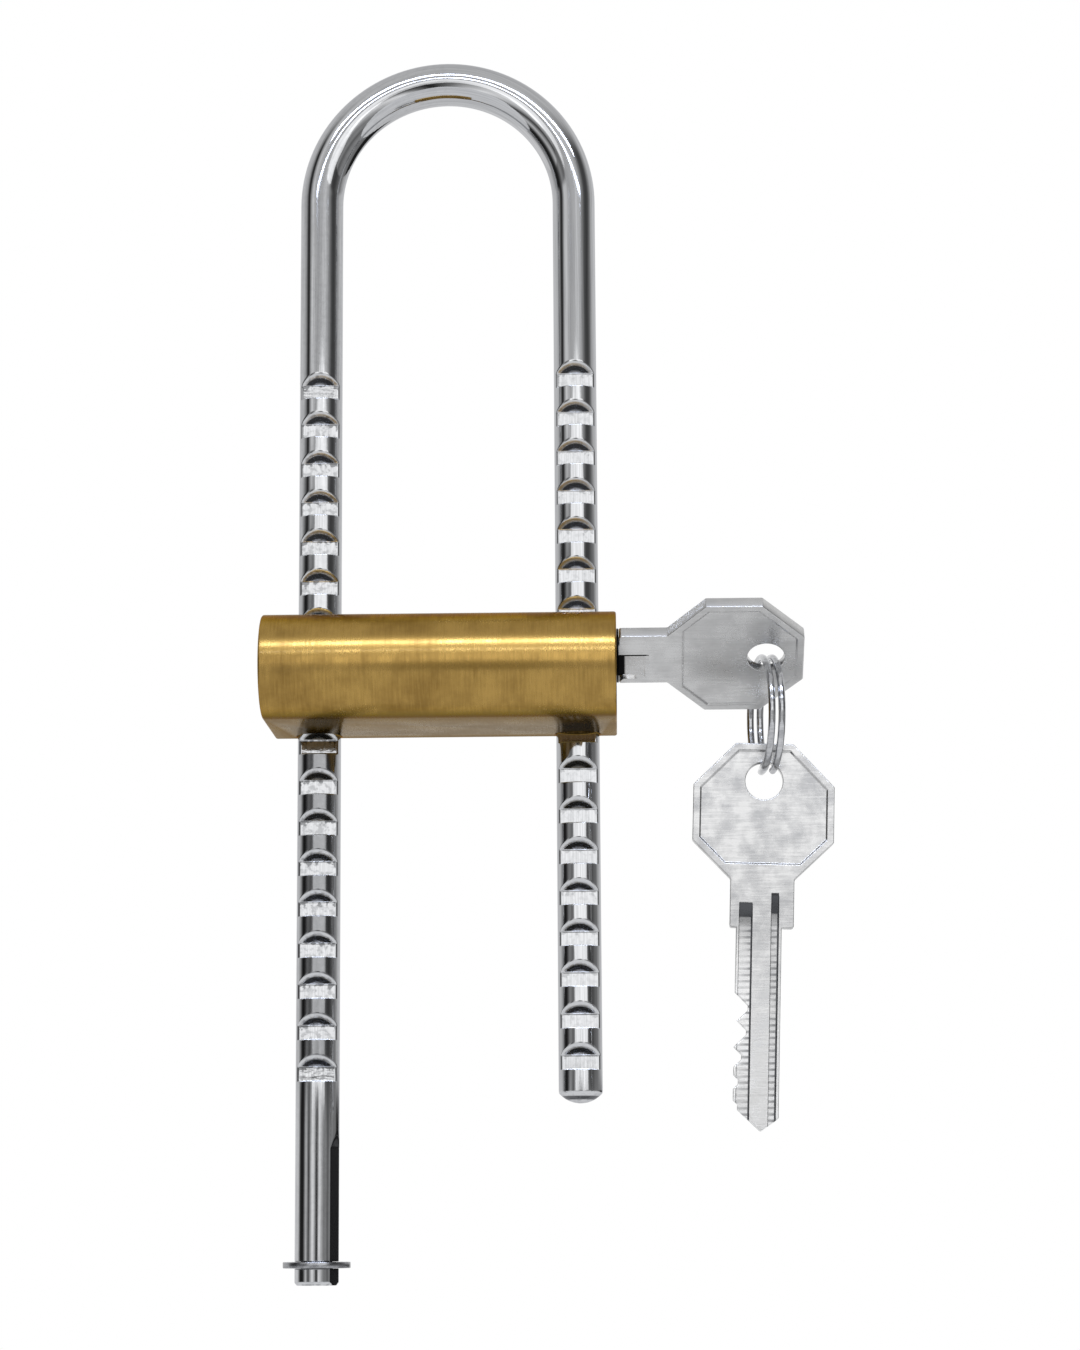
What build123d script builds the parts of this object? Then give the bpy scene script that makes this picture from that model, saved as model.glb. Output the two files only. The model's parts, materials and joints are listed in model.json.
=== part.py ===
from build123d import *
import math
import os

# A padlock with a long adjustable shackle: a brass body slides along two ratchet legs.
# Millimetres. The origin is the inner crown of the shackle's bow, +Z runs up along the legs,
# +X points from the long leg to the short leg, and -Y is the front, where the keyway axis lies.

# Shackle
ROD_D = 7.2
LEG_PITCH = 43.0
LONG_LEG_END = 199.35
SHORT_LEG_END = 170.4
TOE_DOME_H = 1.7
LONG_LEG_CHAMFER = 0.5

# Ratchet notches on the front of both legs
NOTCH_COUNT = 18
NOTCH_PITCH = 6.725
NOTCH_DEPTH = 1.85
NOTCH_FLOOR_H = 2.4
NOTCH_RAMP_H = 1.6
FIRST_NOTCH = 49.5
LEFT_ROW_DROP = 1.6
CUTTER_OVERRUN = 0.6

# Shallow flat milled along the tail of the long leg
TAIL_FLAT_L = 24.1
TAIL_FLAT_DEPTH = 0.45
TAIL_FLAT_TURN = 20.0
TAIL_FLAT_RUNOUT = 2.2

# Retaining clip
CLIP_D = 11.0
CLIP_T = 1.0
CLIP_RIM = 1.6
CLIP_PRONG_W = 2.2
CLIP_MOUTH_W = 4.6
CLIP_END_GAP = 3.25
CLIP_GROOVE_D = 5.0
CLIP_CLEARANCE = 0.06

# Lock body: a bar with half-round front and back. It rests with its bolts at this notch of each row
BODY_AT_NOTCH = 8
BODY_LEFT = 29.0
BODY_RIGHT = 28.0
BODY_H = 17.0
BODY_DEPTH = 37.0
BODY_FRONT = 27.5
BODY_EDGE = 0.35
HOLE_EDGE = 0.35
LEG_CLEARANCE = 0.1

# Plug and keyway
PLUG_D = 11.5
PLUG_BACK = -8.5
PLUG_RISE = 1.4
PLUG_SETBACK = 0.3
PLUG_EDGE = 0.3
PLUG_CLEARANCE = 0.05
BORE_OVERRUN = 1.0
MOUTH_EDGE = 0.4
KEY_LEAN = 53.0
KEY_STANDOFF = 0.4
KEYWAY_CLEARANCE = 0.1
RETAINER_D = 1.6
RETAINER_X = -3.4
RETAINER_BITE = 0.9
RETAINER_CLEARANCE = 0.1
RETAINER_L = 30.0

# Keys
KEY_T = 2.2
NECK_W = 10.2
NECK_L = 7.75
BOW_L = 21.9
BOW_W = 22.6
BOW_END_W = 9.2
BOW_SHOULDER_L = 6.1
BOW_CORNER_L = 6.8
BOW_RIM = 1.05
BOW_RECESS = 0.25
PANEL_START = 2.4
KEY_HOLE_D = 5.9
KEY_HOLE_INSET = 6.05
BLADE_L = 32.15
BLADE_CUT_SIDE = 4.05
BLADE_PLAIN_SIDE = 3.2
TIP_PLAIN_L = 2.1
TIP_CUT_L = 3.6
TIP_OFFSET = 0.4
TIP_STEP = 0.35

# Blade grooves: each one's low and high place across the plate, and how far it runs out into the neck
GROOVE_DEPTH = 0.65
SLOT_LOW = -3.65
SLOT_HIGH = -1.45
SLOT_RUNOUT = 4.0
RIB_LOW = 1.6
RIB_HIGH = 3.2
RIB_RUNOUT = 5.6
STEP_HIGH = 0.0
STEP_RUNOUT = 4.9

# Pins
PIN_DEPTHS = (2.1, 1.9, 1.2, 0.75, 0.7)
FIRST_CUT = 12.75
CUT_PITCH = 3.9
CUT_FLAT = 0.7
CUT_OVERRUN = 0.3
PIN_D = 2.84
CHAMBER_D = 3.0
PIN_CLEARANCE = 0.05
DRIVER_L = 4.5
PIN_SPRING_L = 7.5
PIN_SPRING_D = 2.6
SPRING_WALL = 0.4

# Locking bar, driven by an eccentric pin on the plug
DRIVE_PIN_D = 2.4
DRIVE_RADIUS = 2.8
DRIVE_PIN_REACH = 6.2
DRIVE_PIN_SEAT = 3.6
DRIVE_CLEARANCE = 0.15
ARM_T = 2.5
ARM_GAP = 3.3
ARM_WALL = 1.25
BAR_L = 48.6
BAR_H = 3.8
BAR_DROP = 3.0
BAR_DEPTH = 3.8
BOLT_W = 5.0
BOLT_H = 2.0
BOLT_CLEAR = 0.3
BOLT_REACH = 2.0
BOLT_SPIGOT_D = 1.6
BOLT_SPIGOT_L = 2.4
BAR_CLEARANCE = 0.15
BAR_SPRING_D = 2.4
BAR_SPRING_POCKET = 1.3
BAR_SPRING_LEFT_X = -4.5
BAR_SPRING_RIGHT_X = 15.0
POCKET_FRONT = 5.2
POCKET_H = 9.8

# End cap over the bar pocket
CAP_T = 2.0
CAP_WALL = 1.8
FIT = 0.01

# Split ring of two turns, and the spare key that hangs on it
RING_D = 18.4
WIRE_D = 1.15
WIRE_GAP = 0.45
RING_CROSS_TURN = 25.0
RING_END_TURN = 4.0
RING_YAW = 8.5
RING_CROSS_AT = 205.0
RING_SEAT = 0.12
SPARE_DROP = 1.7
SPARE_SHIFT = 0.45
SPARE_LEAN = 2.0
RING_SAMPLES = 720

# Places worked out from the sizes above
ROD_R = ROD_D / 2
LEG_X = LEG_PITCH / 2
BOW_Z = -(LEG_X - ROD_R)
CLIP_Z = -(LONG_LEG_END - CLIP_END_GAP)
BAR_MID_Z = -(FIRST_NOTCH + LEFT_ROW_DROP / 2 + NOTCH_PITCH * BODY_AT_NOTCH)
BODY_Z = BAR_MID_Z + BAR_DROP
BODY_R = BODY_H / 2
FRONT_Y = -BODY_FRONT + BODY_R
BACK_Y = BODY_DEPTH - BODY_FRONT - BODY_R
BODY_BOTTOM = BODY_Z - BODY_R
PLUG_R = PLUG_D / 2
PLUG_Y = FRONT_Y
PLUG_Z = BODY_Z + PLUG_RISE
PLUG_FACE = BODY_RIGHT - PLUG_SETBACK
KEY_SEAT = BODY_RIGHT + KEY_STANDOFF
PIN_R = PIN_D / 2
CHAMBER_R = CHAMBER_D / 2
NOTCH_FLOOR_Y = -(ROD_R - NOTCH_DEPTH)
LEG_HOLE_R = ROD_R + LEG_CLEARANCE
LEAN = math.radians(KEY_LEAN)
RETRACT_TRAVEL = DRIVE_RADIUS * math.sin(LEAN)
HOME_TRAVEL = DRIVE_RADIUS * math.cos(LEAN)
BOLT_TIP_Y = -ROD_R - BOLT_CLEAR
BAR_BACK_Y = BOLT_TIP_Y - BOLT_REACH
BAR_FRONT_Y = BAR_BACK_Y - BAR_DEPTH
SLOT_FRONT_Y = BAR_FRONT_Y - RETRACT_TRAVEL - BAR_CLEARANCE
SLOT_BACK_Y = BAR_BACK_Y + HOME_TRAVEL + BAR_CLEARANCE
ARM_X = PLUG_BACK - ARM_GAP - ARM_T / 2
KEY_HOLE_X = NECK_L + BOW_L - KEY_HOLE_INSET
KEY_HOLE_R = KEY_HOLE_D / 2

# The two rows of notches and the legs that they are cut in
ROWS = (("right", LEG_X), ("left", -LEG_X))

# The key plate's own directions where it stands in the plug: across the plate and through it.
# Turned back by its lean it stands upright, and turned on by the rest of a quarter turn it is home
ACROSS = Vector(0, -math.sin(LEAN), math.cos(LEAN))
THROUGH = Vector(1, 0, 0).cross(ACROSS)
KEY_PLANE = Plane((KEY_SEAT, PLUG_Y, PLUG_Z), x_dir=(1, 0, 0), z_dir=THROUGH)


def rod_down(x, z_top, z_bottom, radius=ROD_R):
    """A round bar along Z between two heights."""
    return Pos(x, 0, z_bottom) * Cylinder(
        radius, z_top - z_bottom, align=(Align.CENTER, Align.CENTER, Align.MIN)
    )


def rod_along_x(y, z, x_low, x_high, radius):
    """A round bar along X."""
    return Plane((x_low, y, z), x_dir=(0, 1, 0), z_dir=(1, 0, 0)) * Cylinder(
        radius, x_high - x_low, align=(Align.CENTER, Align.CENTER, Align.MIN)
    )


def rod_along_y(x, z, y_low, y_high, radius):
    """A round bar along Y."""
    return Plane((x, y_low, z), x_dir=(1, 0, 0), z_dir=(0, 1, 0)) * Cylinder(
        radius, y_high - y_low, align=(Align.CENTER, Align.CENTER, Align.MIN)
    )


def block(x_span, y_span, z_span):
    """A box given by its low and high values on each axis."""
    size = [high - low for low, high in (x_span, y_span, z_span)]
    low = [span[0] for span in (x_span, y_span, z_span)]
    return Pos(*low) * Box(*size, align=(Align.MIN, Align.MIN, Align.MIN))


def notch_z(row, index):
    """The middle height of one notch floor, on the right row or the left row."""
    drop = LEFT_ROW_DROP if row == "left" else 0
    return -(FIRST_NOTCH + drop + NOTCH_PITCH * index)


def notch_cutters(row, x):
    """Prisms that cut one leg's ratchet: a ramp above each floor and a square shoulder below."""
    outside = ROD_R + CUTTER_OVERRUN
    slope = NOTCH_RAMP_H / NOTCH_DEPTH
    cutters = []
    for index in range(NOTCH_COUNT):
        top = notch_z(row, index) + NOTCH_FLOOR_H / 2
        bottom = top - NOTCH_FLOOR_H
        ramp_top = top + slope * (outside + NOTCH_FLOOR_Y)
        outline = Polyline(
            (-outside, ramp_top),
            (NOTCH_FLOOR_Y, top),
            (NOTCH_FLOOR_Y, bottom),
            (-outside, bottom),
            close=True,
        )
        face = Plane((x - outside, 0, 0), x_dir=(0, 1, 0), z_dir=(1, 0, 0)) * make_face(outline)
        cutters.append(extrude(face, 2 * outside))
    return cutters


def shackle():
    long_leg = chamfer(
        rod_down(-LEG_X, BOW_Z, -LONG_LEG_END).edges().group_by(Axis.Z)[0], LONG_LEG_CHAMFER
    )
    dome_r = (ROD_R**2 + TOE_DOME_H**2) / (2 * TOE_DOME_H)
    dome_z = -SHORT_LEG_END + TOE_DOME_H
    toe = rod_down(LEG_X, dome_z, -SHORT_LEG_END) & Pos(LEG_X, 0, -SHORT_LEG_END + dome_r) * Sphere(dome_r)
    short_leg = rod_down(LEG_X, BOW_Z, dome_z) + toe
    section = Plane((0, 0, BOW_Z)) * Pos(LEG_X, 0) * Circle(ROD_R)
    bow = revolve(section, axis=Axis((0, 0, BOW_Z), (0, -1, 0)), revolution_arc=180)
    rod = bow + long_leg + short_leg

    groove_top = CLIP_Z + CLIP_T / 2 + CLIP_CLEARANCE
    groove_bottom = CLIP_Z - CLIP_T / 2 - CLIP_CLEARANCE
    core = rod_down(-LEG_X, groove_top, groove_bottom, CLIP_GROOVE_D / 2)
    groove = rod_down(-LEG_X, groove_top, groove_bottom, ROD_D) - core

    # The flat faces the short leg, turned a little to the front, and runs out at a slant
    facing = Vector(1, 0, 0).rotate(Axis.Z, -TAIL_FLAT_TURN)
    along = Vector(0, 0, -1)
    face_offset = ROD_R - TAIL_FLAT_DEPTH
    flat_start = LONG_LEG_END - TAIL_FLAT_L
    flat_outline = Polyline(
        (flat_start, ROD_R),
        (flat_start + TAIL_FLAT_RUNOUT, face_offset),
        (LONG_LEG_END + CUTTER_OVERRUN, face_offset),
        (LONG_LEG_END + CUTTER_OVERRUN, ROD_D),
        (flat_start, ROD_D),
        close=True,
    )
    side = Plane((-LEG_X, 0, 0), x_dir=along, z_dir=along.cross(facing))
    tail_flat = extrude(side * make_face(flat_outline), ROD_D, both=True)
    notches = [cutter for row, x in ROWS for cutter in notch_cutters(row, x)]
    return rod - [groove, tail_flat] - notches


def retaining_clip():
    outer = CLIP_D / 2
    prong_tip = CLIP_GROOVE_D / 2 + CLIP_CLEARANCE
    ring = Circle(outer) - Circle(outer - CLIP_RIM)
    prongs = [
        Rot(0, 0, turn) * Pos(outer / 2, 0) * Rectangle(outer, CLIP_PRONG_W) for turn in (0, 180, 270)
    ]
    shape = ring + [prong & Circle(outer - CLIP_RIM / 2) for prong in prongs] - Circle(prong_tip)
    shape -= Pos(0, outer / 2 + prong_tip / 2) * Rectangle(CLIP_MOUTH_W, outer)
    return Pos(-LEG_X, 0, CLIP_Z - CLIP_T / 2) * extrude(shape, CLIP_T)


def body_outline(inset=0.0):
    """The bar's section: a slot shape, as a face across X."""
    centre = (-BODY_LEFT, (FRONT_Y + BACK_Y) / 2, BODY_Z)
    slot = SlotCenterToCenter(BACK_Y - FRONT_Y, BODY_H - 2 * inset)
    return Plane(centre, x_dir=(0, 1, 0), z_dir=(1, 0, 0)) * slot


def full_bar(inset=0.0):
    """The bar from end to end, or the space a little inside its skin."""
    return extrude(body_outline(inset), BODY_LEFT + BODY_RIGHT)


def pin_x(index):
    return KEY_SEAT - FIRST_CUT - CUT_PITCH * index


def lock_body():
    bar = full_bar()
    by_end = bar.edges().group_by(Axis.X)
    bar = chamfer(by_end[0] + by_end[-1], BODY_EDGE)

    leg_holes = []
    for x in (-LEG_X, LEG_X):
        leg_holes.append(rod_down(x, BODY_Z + BODY_H, BODY_Z - BODY_H, LEG_HOLE_R))
        to_top = (Align.CENTER, Align.CENTER, Align.MAX)
        cone = Cone(LEG_HOLE_R, LEG_HOLE_R + HOLE_EDGE, HOLE_EDGE, align=to_top)
        leg_holes.append(Pos(x, 0, BODY_Z + BODY_R) * cone)
        leg_holes.append(Pos(x, 0, BODY_BOTTOM) * Rot(180, 0, 0) * cone)

    bore_r = PLUG_R + PLUG_CLEARANCE
    plug_bore = rod_along_x(PLUG_Y, PLUG_Z, PLUG_BACK - BORE_OVERRUN, BODY_RIGHT, bore_r)
    mouth_edge = Plane((BODY_RIGHT, PLUG_Y, PLUG_Z), x_dir=(0, 1, 0), z_dir=(1, 0, 0)) * Cone(
        bore_r,
        bore_r + MOUTH_EDGE,
        MOUTH_EDGE,
        align=(Align.CENTER, Align.CENTER, Align.MAX),
    )
    retainer_hole = rod_along_y(RETAINER_X, retainer_z(), retainer_front(), BODY_DEPTH, RETAINER_D / 2)
    chambers = [
        rod_along_y(pin_x(index), PLUG_Z, PLUG_Y + PLUG_R / 2, BODY_DEPTH, CHAMBER_R)
        for index in range(len(PIN_DEPTHS))
    ]

    bar_low = BAR_MID_Z - BAR_H / 2 - BAR_CLEARANCE
    bar_high = BAR_MID_Z + BAR_H / 2 + BAR_CLEARANCE
    bar_end = BAR_L / 2 + BAR_CLEARANCE
    slot = block((-BODY_LEFT, bar_end), (SLOT_FRONT_Y, SLOT_BACK_Y), (bar_low, bar_high))
    room_y = (PLUG_Y - POCKET_FRONT, SLOT_BACK_Y)
    drive_room = block((-BODY_LEFT, PLUG_BACK), room_y, (bar_low, bar_low + POCKET_H))
    windows = []
    for row, x in ROWS:
        half = BOLT_W / 2 + BAR_CLEARANCE
        z = bolt_z(row)
        reach = BOLT_H / 2 + BAR_CLEARANCE
        windows.append(block((x - half, x + half), (SLOT_FRONT_Y, NOTCH_FLOOR_Y), (z - reach, z + reach)))
    spring_pockets = [
        rod_along_y(x, BAR_MID_Z, SLOT_FRONT_Y - BAR_SPRING_POCKET, BAR_FRONT_Y, BAR_SPRING_D / 2 + FIT)
        for x in (BAR_SPRING_LEFT_X, BAR_SPRING_RIGHT_X)
    ]
    cap_recess = extrude(body_outline(CAP_WALL - FIT), CAP_T)
    cuts = [plug_bore, mouth_edge, retainer_hole, slot, drive_room, cap_recess]
    return bar - leg_holes - cuts - chambers - windows - spring_pockets


def end_cap():
    """A flat plate set flush in the body's left end."""
    return extrude(body_outline(CAP_WALL), CAP_T - FIT)


def retainer_z():
    return PLUG_Z + PLUG_R + RETAINER_D / 2 - RETAINER_BITE


def retainer_front():
    return PLUG_Y - RETAINER_D


def plug_retainer():
    """A cross pin that bites a groove round the plug, so that the plug can turn but not come out."""
    front = retainer_front() + FIT
    pin = rod_along_y(RETAINER_X, retainer_z(), front, front + RETAINER_L, RETAINER_D / 2 - FIT)
    return pin & full_bar(FIT)


def blade_section(grow=0.0):
    """The blade's milled profile in the key's own plane across X, with its three grooves."""
    middle = (BLADE_PLAIN_SIDE - BLADE_CUT_SIDE) / 2
    section = Pos(middle, 0) * Rectangle(BLADE_PLAIN_SIDE + BLADE_CUT_SIDE, KEY_T)
    for low, high, side, runout in grooves():
        centre = side * KEY_T / 2
        section -= Pos((low + high) / 2, centre) * Rectangle(high - low, 2 * GROOVE_DEPTH)
    if grow:
        section = offset(section, grow, kind=Kind.INTERSECTION)
    return section


def grooves():
    """Each groove's low and high place across the plate, the face that it is cut in and its run-out."""
    slot = (SLOT_LOW, SLOT_HIGH, -1, SLOT_RUNOUT)
    rib = (RIB_LOW, RIB_HIGH, -1, RIB_RUNOUT)
    step = (-BLADE_CUT_SIDE, STEP_HIGH, 1, STEP_RUNOUT)
    return slot, rib, step


def groove_runout(low, high, side, length):
    """The end of a groove in the neck, where the slitting wheel that cut it leaves the plate."""
    wheel_r = (length**2 + GROOVE_DEPTH**2) / (2 * GROOVE_DEPTH)
    centre_z = side * (KEY_T / 2 - GROOVE_DEPTH + wheel_r)
    wheel = Plane((0, low, centre_z), x_dir=(1, 0, 0), z_dir=(0, 1, 0)) * Cylinder(
        wheel_r, high - low, align=(Align.CENTER, Align.CENTER, Align.MIN)
    )
    reach = sorted((0, side * KEY_T))
    return wheel & block((0, length), (low, high), reach)


def bow_outline():
    """The key's bow, an octagon stretched along the key, without the neck."""
    end = NECK_L + BOW_L
    half_neck = NECK_W / 2
    half = BOW_W / 2
    half_end = BOW_END_W / 2
    side = [
        (NECK_L, half_neck),
        (NECK_L + BOW_SHOULDER_L, half),
        (end - BOW_CORNER_L, half),
        (end, half_end),
    ]
    other = [(x, -w) for x, w in reversed(side)]
    return make_face(Polyline(*side, *other, close=True))


def key_solid():
    """A key in its own plane: X from the tip to the bow, Y across the plate, Z through it."""
    half = KEY_T / 2
    neck = Pos(NECK_L / 2, 0) * Rectangle(NECK_L, NECK_W)
    plate = extrude(bow_outline() + neck, half, both=True)
    section_plane = Plane((0, 0, 0), x_dir=(0, 1, 0), z_dir=(1, 0, 0))
    blade = extrude(section_plane * blade_section(), -BLADE_L - CUT_OVERRUN)

    beyond = NECK_W / 2
    tip_trim = Polyline(
        (-BLADE_L + TIP_PLAIN_L, beyond),
        (-BLADE_L + TIP_PLAIN_L, BLADE_PLAIN_SIDE),
        (-BLADE_L, TIP_OFFSET),
        (-BLADE_L + TIP_CUT_L, -BLADE_CUT_SIDE + TIP_STEP),
        (-BLADE_L + TIP_CUT_L, -beyond),
        (-BLADE_L - TIP_PLAIN_L, -beyond),
        (-BLADE_L - TIP_PLAIN_L, beyond),
        close=True,
    )
    cuts = [extrude(make_face(tip_trim), KEY_T, both=True)]
    for index, depth in enumerate(PIN_DEPTHS):
        x = -(FIRST_CUT + CUT_PITCH * index)
        root = -BLADE_CUT_SIDE + depth
        outside = -BLADE_CUT_SIDE - CUT_OVERRUN
        wide = CUT_FLAT / 2 + depth + CUT_OVERRUN
        valley = Polyline(
            (x - CUT_FLAT / 2, root),
            (x + CUT_FLAT / 2, root),
            (x + wide, outside),
            (x - wide, outside),
            close=True,
        )
        cuts.append(extrude(make_face(valley), KEY_T, both=True))

    cuts += [groove_runout(*groove) for groove in grooves()]

    hole = Pos(KEY_HOLE_X, 0) * Circle(KEY_HOLE_R)
    cuts.append(extrude(hole, KEY_T, both=True))
    # A shallow panel fills the bow inside a narrow rim, and stops square before the neck
    beside = Pos(NECK_L + PANEL_START + BOW_L / 2, 0) * Rectangle(BOW_L, BOW_W)
    panel = offset(bow_outline(), -BOW_RIM, kind=Kind.INTERSECTION) & beside
    for side in (-1, 1):
        cuts.append(Pos(0, 0, side * (half - BOW_RECESS)) * extrude(panel, side * half))
    return plate + blade - cuts


def key():
    return KEY_PLANE * key_solid()


def plug():
    barrel = rod_along_x(PLUG_Y, PLUG_Z, PLUG_BACK, PLUG_FACE, PLUG_R)
    barrel = chamfer(barrel.edges().group_by(Axis.X)[-1], PLUG_EDGE)
    section_plane = Plane(KEY_PLANE.origin, x_dir=ACROSS, z_dir=(1, 0, 0))
    keyway = extrude(section_plane * blade_section(KEYWAY_CLEARANCE), -(BLADE_L + KEYWAY_CLEARANCE))
    groove_half = RETAINER_D / 2 + RETAINER_CLEARANCE
    groove_x = (RETAINER_X - groove_half, RETAINER_X + groove_half)
    core_r = PLUG_R - RETAINER_BITE - RETAINER_CLEARANCE
    groove = rod_along_x(PLUG_Y, PLUG_Z, *groove_x, PLUG_D)
    groove -= rod_along_x(PLUG_Y, PLUG_Z, *groove_x, core_r)
    seat_x = (PLUG_BACK, PLUG_BACK + DRIVE_PIN_SEAT)
    pin_seat = rod_along_x(PLUG_Y, PLUG_Z - DRIVE_RADIUS, *seat_x, DRIVE_PIN_D / 2)
    holes = [pin_rod(index, 0, PLUG_D, CHAMBER_R) for index in range(len(PIN_DEPTHS))]
    return barrel - [keyway, groove, pin_seat] - holes


def drive_pin():
    """An eccentric pin in the plug's inner end, which moves the locking bar."""
    low = PLUG_BACK - DRIVE_PIN_REACH
    high = PLUG_BACK + DRIVE_PIN_SEAT - FIT
    return rod_along_x(PLUG_Y, PLUG_Z - DRIVE_RADIUS, low, high, DRIVE_PIN_D / 2 - FIT)


def pin_rod(index, near, far, radius):
    """A round bar in one of the plug's pin holes, between two distances from the plug's axis."""
    outward = ACROSS * -1
    start = Vector(pin_x(index), PLUG_Y, PLUG_Z) + outward * near
    return Plane(start, x_dir=(1, 0, 0), z_dir=outward) * Cylinder(
        radius, far - near, align=(Align.CENTER, Align.CENTER, Align.MIN)
    )


def key_pin(index):
    root = BLADE_CUT_SIDE - PIN_DEPTHS[index] + PIN_CLEARANCE
    shear_line = math.sqrt(PLUG_R**2 - PIN_R**2)
    pin = pin_rod(index, root, shear_line - PIN_CLEARANCE, PIN_R)
    inner = Vector(pin_x(index), PLUG_Y, PLUG_Z) - ACROSS * root
    tip = min(pin.edges(), key=lambda edge: (edge.center() - inner).length)
    return chamfer(tip, PIN_R - CUT_FLAT / 2 + PIN_CLEARANCE)


def driver_start():
    return PLUG_Y + PLUG_R + 2 * PIN_CLEARANCE


def driver_pin(index):
    return rod_along_y(pin_x(index), PLUG_Z, driver_start(), driver_start() + DRIVER_L, PIN_R)


def pin_spring(index):
    start = driver_start() + DRIVER_L + FIT
    outer = PIN_SPRING_D / 2
    return rod_along_y(pin_x(index), PLUG_Z, start, start + PIN_SPRING_L, outer) - rod_along_y(
        pin_x(index), PLUG_Z, start, start + PIN_SPRING_L, outer - SPRING_WALL
    )


def chamber_plug(index):
    """A brass rod that closes a pin chamber and is dressed flush with the round back."""
    start = driver_start() + DRIVER_L + PIN_SPRING_L + 2 * FIT
    rod = rod_along_y(pin_x(index), PLUG_Z, start, BODY_DEPTH, CHAMBER_R - FIT)
    return rod & full_bar(FIT)


def bolt_z(row):
    """The height of a bolt: the notch floor that it faces while the body rests where it does."""
    heights = [notch_z(row, index) for index in range(NOTCH_COUNT)]
    return min(heights, key=lambda z: abs(z - BAR_MID_Z))


def bolt_spigot(row, x, radius, length):
    return rod_along_y(x, bolt_z(row), BAR_BACK_Y - length, BAR_BACK_Y, radius)


def bolt(row, x):
    half = BOLT_W / 2
    z = bolt_z(row)
    head = block((x - half, x + half), (BAR_BACK_Y, BOLT_TIP_Y), (z - BOLT_H / 2, z + BOLT_H / 2))
    tip_edges = head.edges().filter_by(Axis.Z).group_by(Axis.Y)[-1]
    spigot = bolt_spigot(row, x, BOLT_SPIGOT_D / 2 - FIT, BOLT_SPIGOT_L - FIT)
    return chamfer(tip_edges, BOLT_REACH / 4) + spigot


def locking_bar():
    low = BAR_MID_Z - BAR_H / 2
    high = BAR_MID_Z + BAR_H / 2
    bar = block((-BAR_L / 2, BAR_L / 2), (BAR_FRONT_Y, BAR_BACK_Y), (low, high))
    drive_half = DRIVE_PIN_D / 2 + DRIVE_CLEARANCE
    arm_x = (ARM_X - ARM_T / 2, ARM_X + ARM_T / 2)
    arm = block(arm_x, (PLUG_Y - drive_half - ARM_WALL, BAR_FRONT_Y), (low, high))
    pin_low = PLUG_Z - DRIVE_RADIUS - drive_half
    # The pin rises most when the key turns back to upright or on to home, whichever is further
    pin_high = PLUG_Z - DRIVE_RADIUS * min(math.cos(LEAN), math.sin(LEAN))
    post_top = pin_high + drive_half
    post_y = (PLUG_Y - drive_half - ARM_WALL, PLUG_Y + drive_half + ARM_WALL)
    posts = block(arm_x, post_y, (low, post_top))
    slot = block(arm_x, (PLUG_Y - drive_half, PLUG_Y + drive_half), (pin_low, post_top))
    spigots = [bolt_spigot(row, x, BOLT_SPIGOT_D / 2, BOLT_SPIGOT_L) for row, x in ROWS]
    return bar + arm + posts - slot - spigots


def bar_spring(x):
    start = SLOT_FRONT_Y - BAR_SPRING_POCKET + FIT
    outer = BAR_SPRING_D / 2 - FIT
    sleeve = rod_along_y(x, BAR_MID_Z, start, BAR_FRONT_Y - FIT, outer)
    return sleeve - rod_along_y(x, BAR_MID_Z, start, BAR_FRONT_Y, outer - SPRING_WALL)


def ring_frame():
    """The split ring's plane: it hangs on the low rim of the key's hole, a little turned."""
    hole = Vector(KEY_SEAT + KEY_HOLE_X, PLUG_Y, PLUG_Z)
    rim = hole - ACROSS * KEY_HOLE_R - THROUGH * (KEY_T / 2)
    inner_r = (RING_D - WIRE_D) / 2
    centre = rim + Vector(0, 0, RING_SEAT - inner_r)
    normal = Vector(1, 0, 0).rotate(Axis.Z, RING_YAW)
    return Plane(centre, x_dir=(0, 0, 1), z_dir=normal)


def on_ring(angle, level, radius):
    turn = math.radians(angle)
    return Vector(radius * math.cos(turn), radius * math.sin(turn), level)


def flat_turn(start, turn, level):
    """One turn of the ring, flat at its level, as two arcs."""
    plane = Plane((0, 0, level))
    return [plane * CenterArc((0, 0), RING_D / 2, start + turn / 2 * step, turn / 2) for step in (0, 1)]


def ring_path():
    """Two flat turns side by side, joined by a crossing made of two tangent arcs."""
    radius = RING_D / 2
    jog = (WIRE_D + WIRE_GAP) / 2
    first = RING_CROSS_AT - RING_CROSS_TURN
    last = RING_CROSS_AT + RING_CROSS_TURN
    turn = 360 - 2 * RING_CROSS_TURN - RING_END_TURN

    middle = on_ring(RING_CROSS_AT, 0, math.hypot(radius, jog))
    leaving = TangentArc(on_ring(first, -jog, radius), middle, tangent=on_ring(first + 90, 0, 1))
    landing = TangentArc(on_ring(last, jog, radius), middle, tangent=on_ring(last - 90, 0, 1))
    low_turn = flat_turn(first - turn, turn, -jog)
    return Wire(low_turn + [leaving, landing] + flat_turn(last, turn, jog))


def split_ring():
    path = ring_path()
    section = Plane(path @ 0, z_dir=path % 0) * Circle(WIRE_D / 2)

    # The least gap is measured between points that are a sixth of the wire or more apart
    samples = [path @ (step / RING_SAMPLES) for step in range(RING_SAMPLES + 1)]
    pairs = [(a, b) for i, a in enumerate(samples) for b in samples[i + RING_SAMPLES // 6:]]
    gap = min((a - b).length for a, b in pairs) - WIRE_D
    print("split ring: least gap between its turns", round(gap, 3), "mm")
    return ring_frame() * sweep(section, path=path)


def spare_pivot():
    """The middle of the wire at the ring's lowest point."""
    return ring_frame().origin - Vector(0, 0, RING_D / 2)


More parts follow.
